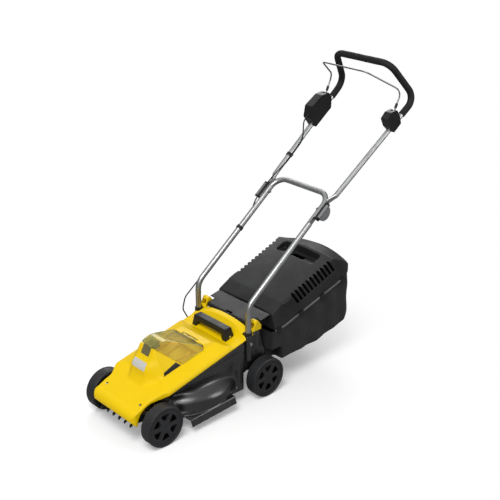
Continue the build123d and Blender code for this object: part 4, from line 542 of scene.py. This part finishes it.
def shoulder_profile(inset):
    """Height and radius along the solid dome's section, from the rim up to the flat of its top."""
    bend = SOLID_SHOULDER - inset
    middle = SOLID_TOP - SOLID_SHOULDER
    flat = SOLID_RADIUS - SOLID_SHOULDER
    turns = [math.radians(90 * k / 8) for k in range(9)]
    arc = [(middle + bend * math.sin(t), flat + bend * math.cos(t)) for t in turns]
    return [(0.058, SOLID_RADIUS - inset), *arc, (SOLID_TOP - inset, 0.10)]


def solid_half(y, z):
    """Half width of the solid dome."""
    up = np.clip((z - SOLID_TOP + SOLID_SHOULDER) / SOLID_SHOULDER, 0, 1)
    reach = SOLID_RADIUS - SOLID_SHOULDER * (1 - np.sqrt(1 - up * up))
    half = np.sqrt(np.clip(reach**2 - (y - SOLID_CENTRE) ** 2, 0, None))
    return np.where(z < SOLID_TOP, half, 0)


def crest_half(y, z):
    """Half width of the dome as photographed, with a crest all round."""
    reach = np.interp(z, CREST_HEIGHTS, CREST_RADII, right=0)
    return np.sqrt(np.clip(reach**2 - (y - CREST_CENTRE) ** 2, 0, None))


def wall_half(y):
    """Half width of the side wall, with its round front corner."""
    corner = np.sqrt(np.clip(WALL_CORNER**2 - np.clip(WALL_TURN - y, 0, None) ** 2, 0, None))
    return WALL_HALF - WALL_CORNER + corner


def lean_in(place):
    """Moves the deck's side wall in and its dome out, with a hollow between them."""
    x, y, z = place.T
    edge = EDGE.z + (y - EDGE.y) * EDGE_RISE
    band = edge - 0.003 - 0.019 * ramp(y, -0.12, 0.12)
    lean = WALL_LEAN + NOSE_LEAN * ramp(y, -0.06, -0.14)
    inset = RIM_STEP * ramp(z, band, band - 0.003) + lean * np.clip((band - z) / (band - 0.125), 0, 1) ** 2
    wall = wall_half(y)
    before = np.maximum(wall, solid_half(y, z))
    leant = wall - inset
    dome = crest_half(y, z)
    after = 0.5 * (leant + dome + np.sqrt((leant - dome) ** 2 + (HOLLOW * ramp(z, band, band - 0.02)) ** 2))
    out_by = np.abs(x) - before
    share = ramp(out_by, -0.035, -0.015) * ramp(out_by, 0.007, 0.002)
    share = share * ramp(y, -0.158, -0.140) * ramp(y, 0.130, 0.112) * ramp(z, 0.058, 0.074)
    moved = place.copy()
    moved[:, 0] += np.sign(x) * share * (after - before)
    skirt = np.clip((np.abs(x) - LIP_FOLD) / LIP_WIDE, 0, 1) * ramp(z, 0.090, 0.085)
    moved[:, 0] -= np.sign(x) * skirt * LIP_TUCK
    moved[:, 2] -= skirt * LIP_DROP
    return moved


def side_blend(place):
    """The deck's side, where its hollows are smoothed."""
    x, y, z = place.T
    side = ramp(np.abs(x), 0.085, 0.105) * ramp(np.abs(x), 0.194, 0.184)
    edge = EDGE.z + (y - EDGE.y) * EDGE_RISE
    length = side * ramp(y, -0.165, -0.150) * ramp(y, 0.128, 0.112)
    return length * ramp(z, 0.066, 0.080) * ramp(z, edge - 0.02, edge - 0.04)


# The dome's front, which closes the opening that the nose tub leaves in the solid
dome_skin = shoulder_profile(SKIN_GAP) + shoulder_profile(SOLID_WALL - SKIN_GAP)[::-1]
dome_place = Matrix.Translation((0, SOLID_CENTRE, 0))
dome_front = turned("dome_front", dome_skin, dome_place, -150, 120, 48)
deck_form = joined(nodes["deck_housing"].data, dome_front)
deck_form = worked(deck_form, "REMESH", mode="VOXEL", voxel_size=DECK_VOXEL)
deck_form.vertices.foreach_set("co", lean_in(points_of(deck_form)).ravel())
deck = soften(deck_form, DECK_VOXEL, 5, 0.16, 30.0, (side_blend, 70))
new_piece("deck_shell", deck, "deck", "deck", "black_plastic", "deck_housing")
grab = soften(nodes["carry_handle"].data, 0.0012, 8, 0.25)
new_piece("grab_handle", grab, "deck", "black", "black_plastic", "carry_handle")
flap = soften(nodes["rear_flap"].data, 0.0011, 7, 0.22)
new_piece("flap_plate", flap, "rear_flap", "flap", "black_plastic", "rear_flap")
lid = soften(nodes["catcher_lid"].data, 0.0013, 10, 0.14)
new_piece("catcher_cover", lid, "catcher", "lid", "black_plastic", "catcher_lid")
window = soften(nodes["battery_lid"].data, 0.0008, 10, 0.16)
new_piece("clear_lid", window, "battery_lid", "clear", "smoky_clear", "battery_lid")


# Cloth bag: full corners, a slack floor and folded sides
def slack(place):
    """Folds on the bag's sides and rear, and a floor that sags."""
    x, y, z = place.T
    wide = np.clip((np.abs(x) - 0.10) / 0.05, 0, 1)
    low = np.clip((0.30 - z) / 0.15, 0, 1)
    back = np.clip((y - 0.32) / 0.10, 0, 1)
    fold = np.sin(y * 62 + z * 34) * np.sin(z * 25 - y * 11 + 0.7)
    fine = np.sin(y * 170 - z * 120 + np.sin(z * 60) * 1.2) * np.sin(y * 37 + z * 52)
    out = np.empty_like(place)
    out[:, 0] = x + np.sign(x) * wide * back * (-0.0016 + 0.0026 * fold + 0.0003 * fine)
    out[:, 1] = y + 0.0016 * fold * np.clip((y - 0.62) / 0.06, 0, 1) * np.cos(x * 40)
    out[:, 2] = z - low * back * 0.002 * (1 - (x / 0.17) ** 2) * (1 + 0.5 * np.sin(x * 40 + y * 28))
    return out


bag = soften(nodes["catcher_bag"].data, 0.0016, 60, 0.16, 60.0, None, slack)
new_piece("cloth_bag", bag, "catcher", "cloth", "fabric", "catcher_bag")


# Foam grip with a slightly uneven skin
def knead(place):
    """Small waves in the foam's skin."""
    x, y, z = place.T
    out = place.copy()
    out[:, 2] = z + 0.00025 * np.sin(x * 90 + z * 70) * np.sin(y * 80 - x * 40)
    return out


sleeve = soften(nodes["foam_grip"].data, 0.0014, 6, 0.30, 40.0, None, knead)
grip = new_piece("grip_sleeve", sleeve, "upper_handle", "foam", "foam", "foam_grip")

# Cable: the two clipped runs stay as they are; the loop where the handle folds becomes a smooth tube along
# its route
CABLE_RADIUS = 0.0025
CABLE_LOOP = (
    (-0.1494, 0.4543, 0.5771), (-0.1494, 0.4606, 0.5820), (-0.1526, 0.4706, 0.5986),
    (-0.1495, 0.4844, 0.6264), (-0.1495, 0.5801, 0.7005), (-0.1498, 0.6311, 0.7211),
    (-0.1512, 0.6584, 0.7414),
)
loop_mesh = route_tube("cable_loop", CABLE_LOOP, CABLE_RADIUS)
loop = new_piece("cable_loop", loop_mesh, None, "cable", "cable", "cable_fold_loop")
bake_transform(loop)

# Plain plates on the hump
PLATE_LOW = 0.039
PLATE_HIGH = 0.068
PLATE_LEFT = 0.033
PLATE_RIGHT = -0.037
column = (COLUMN_HEAD - COLUMN_FOOT).normalized()
column_out = Vector((0, -column.z, column.y))
badge = []
for across, up in (
    (PLATE_RIGHT, PLATE_LOW), (PLATE_LEFT, PLATE_LOW), (PLATE_LEFT, PLATE_HIGH), (PLATE_RIGHT, PLATE_HIGH),
):
    badge.append(COLUMN_FOOT + column * up + Vector((across, 0, 0)))
flat_plate = slab("column_plate", badge, column_out, 0.0012, 0.004)
plate = soften(flat_plate, 0.0005, 1, 0.3, 35.0, None, column_swell)
new_piece("column_plate", plate, "deck", "plate", "light_grey_plastic")

FLANK_FOOT = Vector((0.088, -0.084, 0.217))
along = Vector((0, math.cos(TILT), math.sin(TILT)))
rise = Vector((-0.049, -0.0866 * math.sin(TILT), 0.0866 * math.cos(TILT))).normalized()
FLANK_PLATE = ((-0.084, 0.003), (-0.008, 0.003), (-0.020, 0.0215), (-0.078, 0.0140))
for side, hand in ((1, "left"), (-1, "right")):
    corners = [FLANK_FOOT + along * a + rise * b for a, b in FLANK_PLATE]
    outward = along.cross(rise)
    if outward.x < 0:
        outward = -outward
    corners = [Vector((side * c.x, c.y, c.z)) for c in corners]
    outward = Vector((side * outward.x, outward.y, outward.z))
    name = "flank_plate_" + hand
    new_piece(name, slab(name, corners, outward, 0.0012, 0.0015), "deck", "black", "black_plastic")

# Lugs on the treads
LUG_COUNT = 30
LUG_RADIUS = 0.0746
LUG_SIZE = (0.011, 0.0032, 0.0022)
LUG_ROWS = (0.174, 0.148)
LUG_SLANT = 14
WHEEL_MIDDLE = 0.161


def lug_ring(name, centre, side):
    """Two staggered rows of short bars round a wheel's tread."""
    mesh = bpy.data.meshes.new(name)
    form = bmesh.new()
    for row, at_x in enumerate(LUG_ROWS):
        for k in range(LUG_COUNT):
            turn = 2 * math.pi * (k + 0.5 * row) / LUG_COUNT
            spot = Matrix.Translation(centre) @ Matrix.Rotation(turn, 4, "X")
            spot = spot @ Matrix.Translation((side * (at_x - WHEEL_MIDDLE), 0, LUG_RADIUS))
            spot = spot @ Matrix.Rotation(math.radians(LUG_SLANT if row else -LUG_SLANT), 4, "Z")
            made = bmesh.ops.create_cube(form, size=1, matrix=spot @ Matrix.Diagonal((*LUG_SIZE, 1)))
            edges = list({e for v in made["verts"] for e in v.link_edges})
            bmesh.ops.bevel(form, geom=edges, offset=0.0005, segments=2, profile=0.5, affect="EDGES")
    form.to_mesh(mesh)
    form.free()
    mesh.shade_smooth()
    mesh.set_sharp_from_angle(angle=math.radians(40))
    return mesh


# Dish points: distance out from the wheel's middle and radius
DISH = (
    (-0.010, 0.0165), (-0.004, 0.030), (-0.010, 0.0665),
    (-0.0125, 0.0665), (-0.0065, 0.030), (-0.0125, 0.0165),
)
for end, y in (("front", -0.238), ("rear", 0.238)):
    for side, hand in ((1, "left"), (-1, "right")):
        centre = Vector((side * WHEEL_MIDDLE, y, 0.075))
        wheel = f"wheel_{end}_{hand}"
        name = f"tread_{end}_{hand}"
        new_piece(name, lug_ring(name, centre, side), wheel, "wheel", "grey_plastic")
        # A black dished disc inside each wheel: its moulded inner disc, and a dark sheet standing in for the
        # shade under the deck seen through the windows
        name = f"web_and_shade_{end}_{hand}"
        hub_frame = Matrix.Translation(centre) @ Matrix.Rotation(math.radians(90 * side), 4, "Y")
        new_piece(name, turned(name, DISH, hub_frame), wheel, "black", "grey_plastic")

# Floor: it takes the object's shadow and fades to plain white
FLOOR_HALF = 12.0
FLOOR_LOW = -0.0008
FADE_START = 0.55
FADE_END = 1.15
floor_mesh = bpy.data.meshes.new("floor")
floor_corners = [(a * FLOOR_HALF, b * FLOOR_HALF, FLOOR_LOW) for a, b in ((-1, -1), (1, -1), (1, 1), (-1, 1))]
floor_mesh.from_pydata(floor_corners, [], [(0, 1, 2, 3)])
floor = bpy.data.objects.new("floor", floor_mesh)
scene.collection.objects.link(floor)

pale = Nodes("pale_floor")
reach = pale.add("ShaderNodeVectorMath", operation="LENGTH")
pale.link(pale.place, reach.inputs[0])
fade = pale.spread(reach.outputs["Value"], 0.0, 1.0, FADE_START, FADE_END)
pale.two_colours(fade, (0.90, 0.90, 0.90), (0.0, 0.0, 0.0))
pale.link(pale.spread(fade, 0.22, 1.0, 0.0, 1.0), pale.shader.inputs["Emission Strength"])
pale.shader.inputs["Emission Color"].default_value = (1, 1, 1, 1)
pale.shader.inputs["Roughness"].default_value = 0.9
pale.shader.inputs["Specular IOR Level"].default_value = 0.0
dim = pale.add("ShaderNodeBsdfDiffuse")
dim.inputs["Color"].default_value = (0.34, 0.34, 0.34, 1)
ray = pale.add("ShaderNodeLightPath")
either = pale.add("ShaderNodeMixShader")
pale.link(ray.outputs["Is Camera Ray"], either.inputs["Fac"])
pale.link(dim.outputs[0], either.inputs[1])
pale.link(pale.shader.outputs[0], either.inputs[2])
pale.link(either.outputs[0], pale.tree.nodes["Material Output"].inputs["Surface"])
floor.data.materials.append(pale.material)

# World: white to the eye, an even fill, and a darker horizon in reflections
FILL = 0.42
world = bpy.data.worlds.new("studio")
scene.world = world
world.use_nodes = True
tree = world.node_tree
tree.nodes.clear()


def world_node(kind, **values):
    """A new node in the world's tree."""
    node = tree.nodes.new(kind)
    for key, value in values.items():
        setattr(node, key, value)
    return node


def plain_sky(strength):
    """An even white background."""
    sky = world_node("ShaderNodeBackground")
    sky.inputs["Color"].default_value = (1, 1, 1, 1)
    sky.inputs["Strength"].default_value = strength
    return sky


path = world_node("ShaderNodeLightPath")
seen = world_node("ShaderNodeMath", operation="MAXIMUM")
tree.links.new(path.outputs["Is Camera Ray"], seen.inputs[0])
tree.links.new(path.outputs["Is Transmission Ray"], seen.inputs[1])
direction = world_node("ShaderNodeTexCoord")
parts = world_node("ShaderNodeSeparateXYZ")
tree.links.new(direction.outputs["Generated"], parts.inputs[0])
height = world_node("ShaderNodeMapRange")
for key, value in (("From Min", 0.08), ("From Max", 0.75), ("To Min", 0.16), ("To Max", 0.7)):
    height.inputs[key].default_value = value
tree.links.new(parts.outputs["Z"], height.inputs["Value"])
mirrored = plain_sky(1.0)
tree.links.new(height.outputs["Result"], mirrored.inputs["Strength"])
inner = world_node("ShaderNodeMixShader")
tree.links.new(path.outputs["Is Glossy Ray"], inner.inputs["Fac"])
tree.links.new(plain_sky(FILL).outputs[0], inner.inputs[1])
tree.links.new(mirrored.outputs[0], inner.inputs[2])
outer = world_node("ShaderNodeMixShader")
tree.links.new(seen.outputs[0], outer.inputs["Fac"])
tree.links.new(inner.outputs[0], outer.inputs[1])
tree.links.new(plain_sky(1.0).outputs[0], outer.inputs[2])
world_out = world_node("ShaderNodeOutputWorld")
tree.links.new(outer.outputs[0], world_out.inputs["Surface"])


# Lights, all aimed at the mower's middle
MIDDLE = (0.0, 0.15, 0.4)


def soft_light(name, at, size, watts):
    """A rectangular lamp."""
    data = bpy.data.lights.new(name, "AREA")
    data.shape = "RECTANGLE"
    data.size, data.size_y = size
    data.energy = watts
    obj = bpy.data.objects.new(name, data)
    obj.location = at
    obj.rotation_euler = (Vector(MIDDLE) - Vector(at)).to_track_quat("-Z", "Y").to_euler()
    scene.collection.objects.link(obj)
    return obj


soft_light("key", (1.2, -1.6, 3.2), (1.6, 1.6), 78)
soft_light("front", (1.9, -2.4, 1.7), (1.1, 0.8), 12)
# The gleam shows in reflections alone
gleam = soft_light("gleam", (2.4, 1.9, 1.8), (1.2, 1.8), 30)
gleam.visible_diffuse = False
soft_light("rear", (-2.2, 2.4, 2.2), (2.0, 1.2), 34)
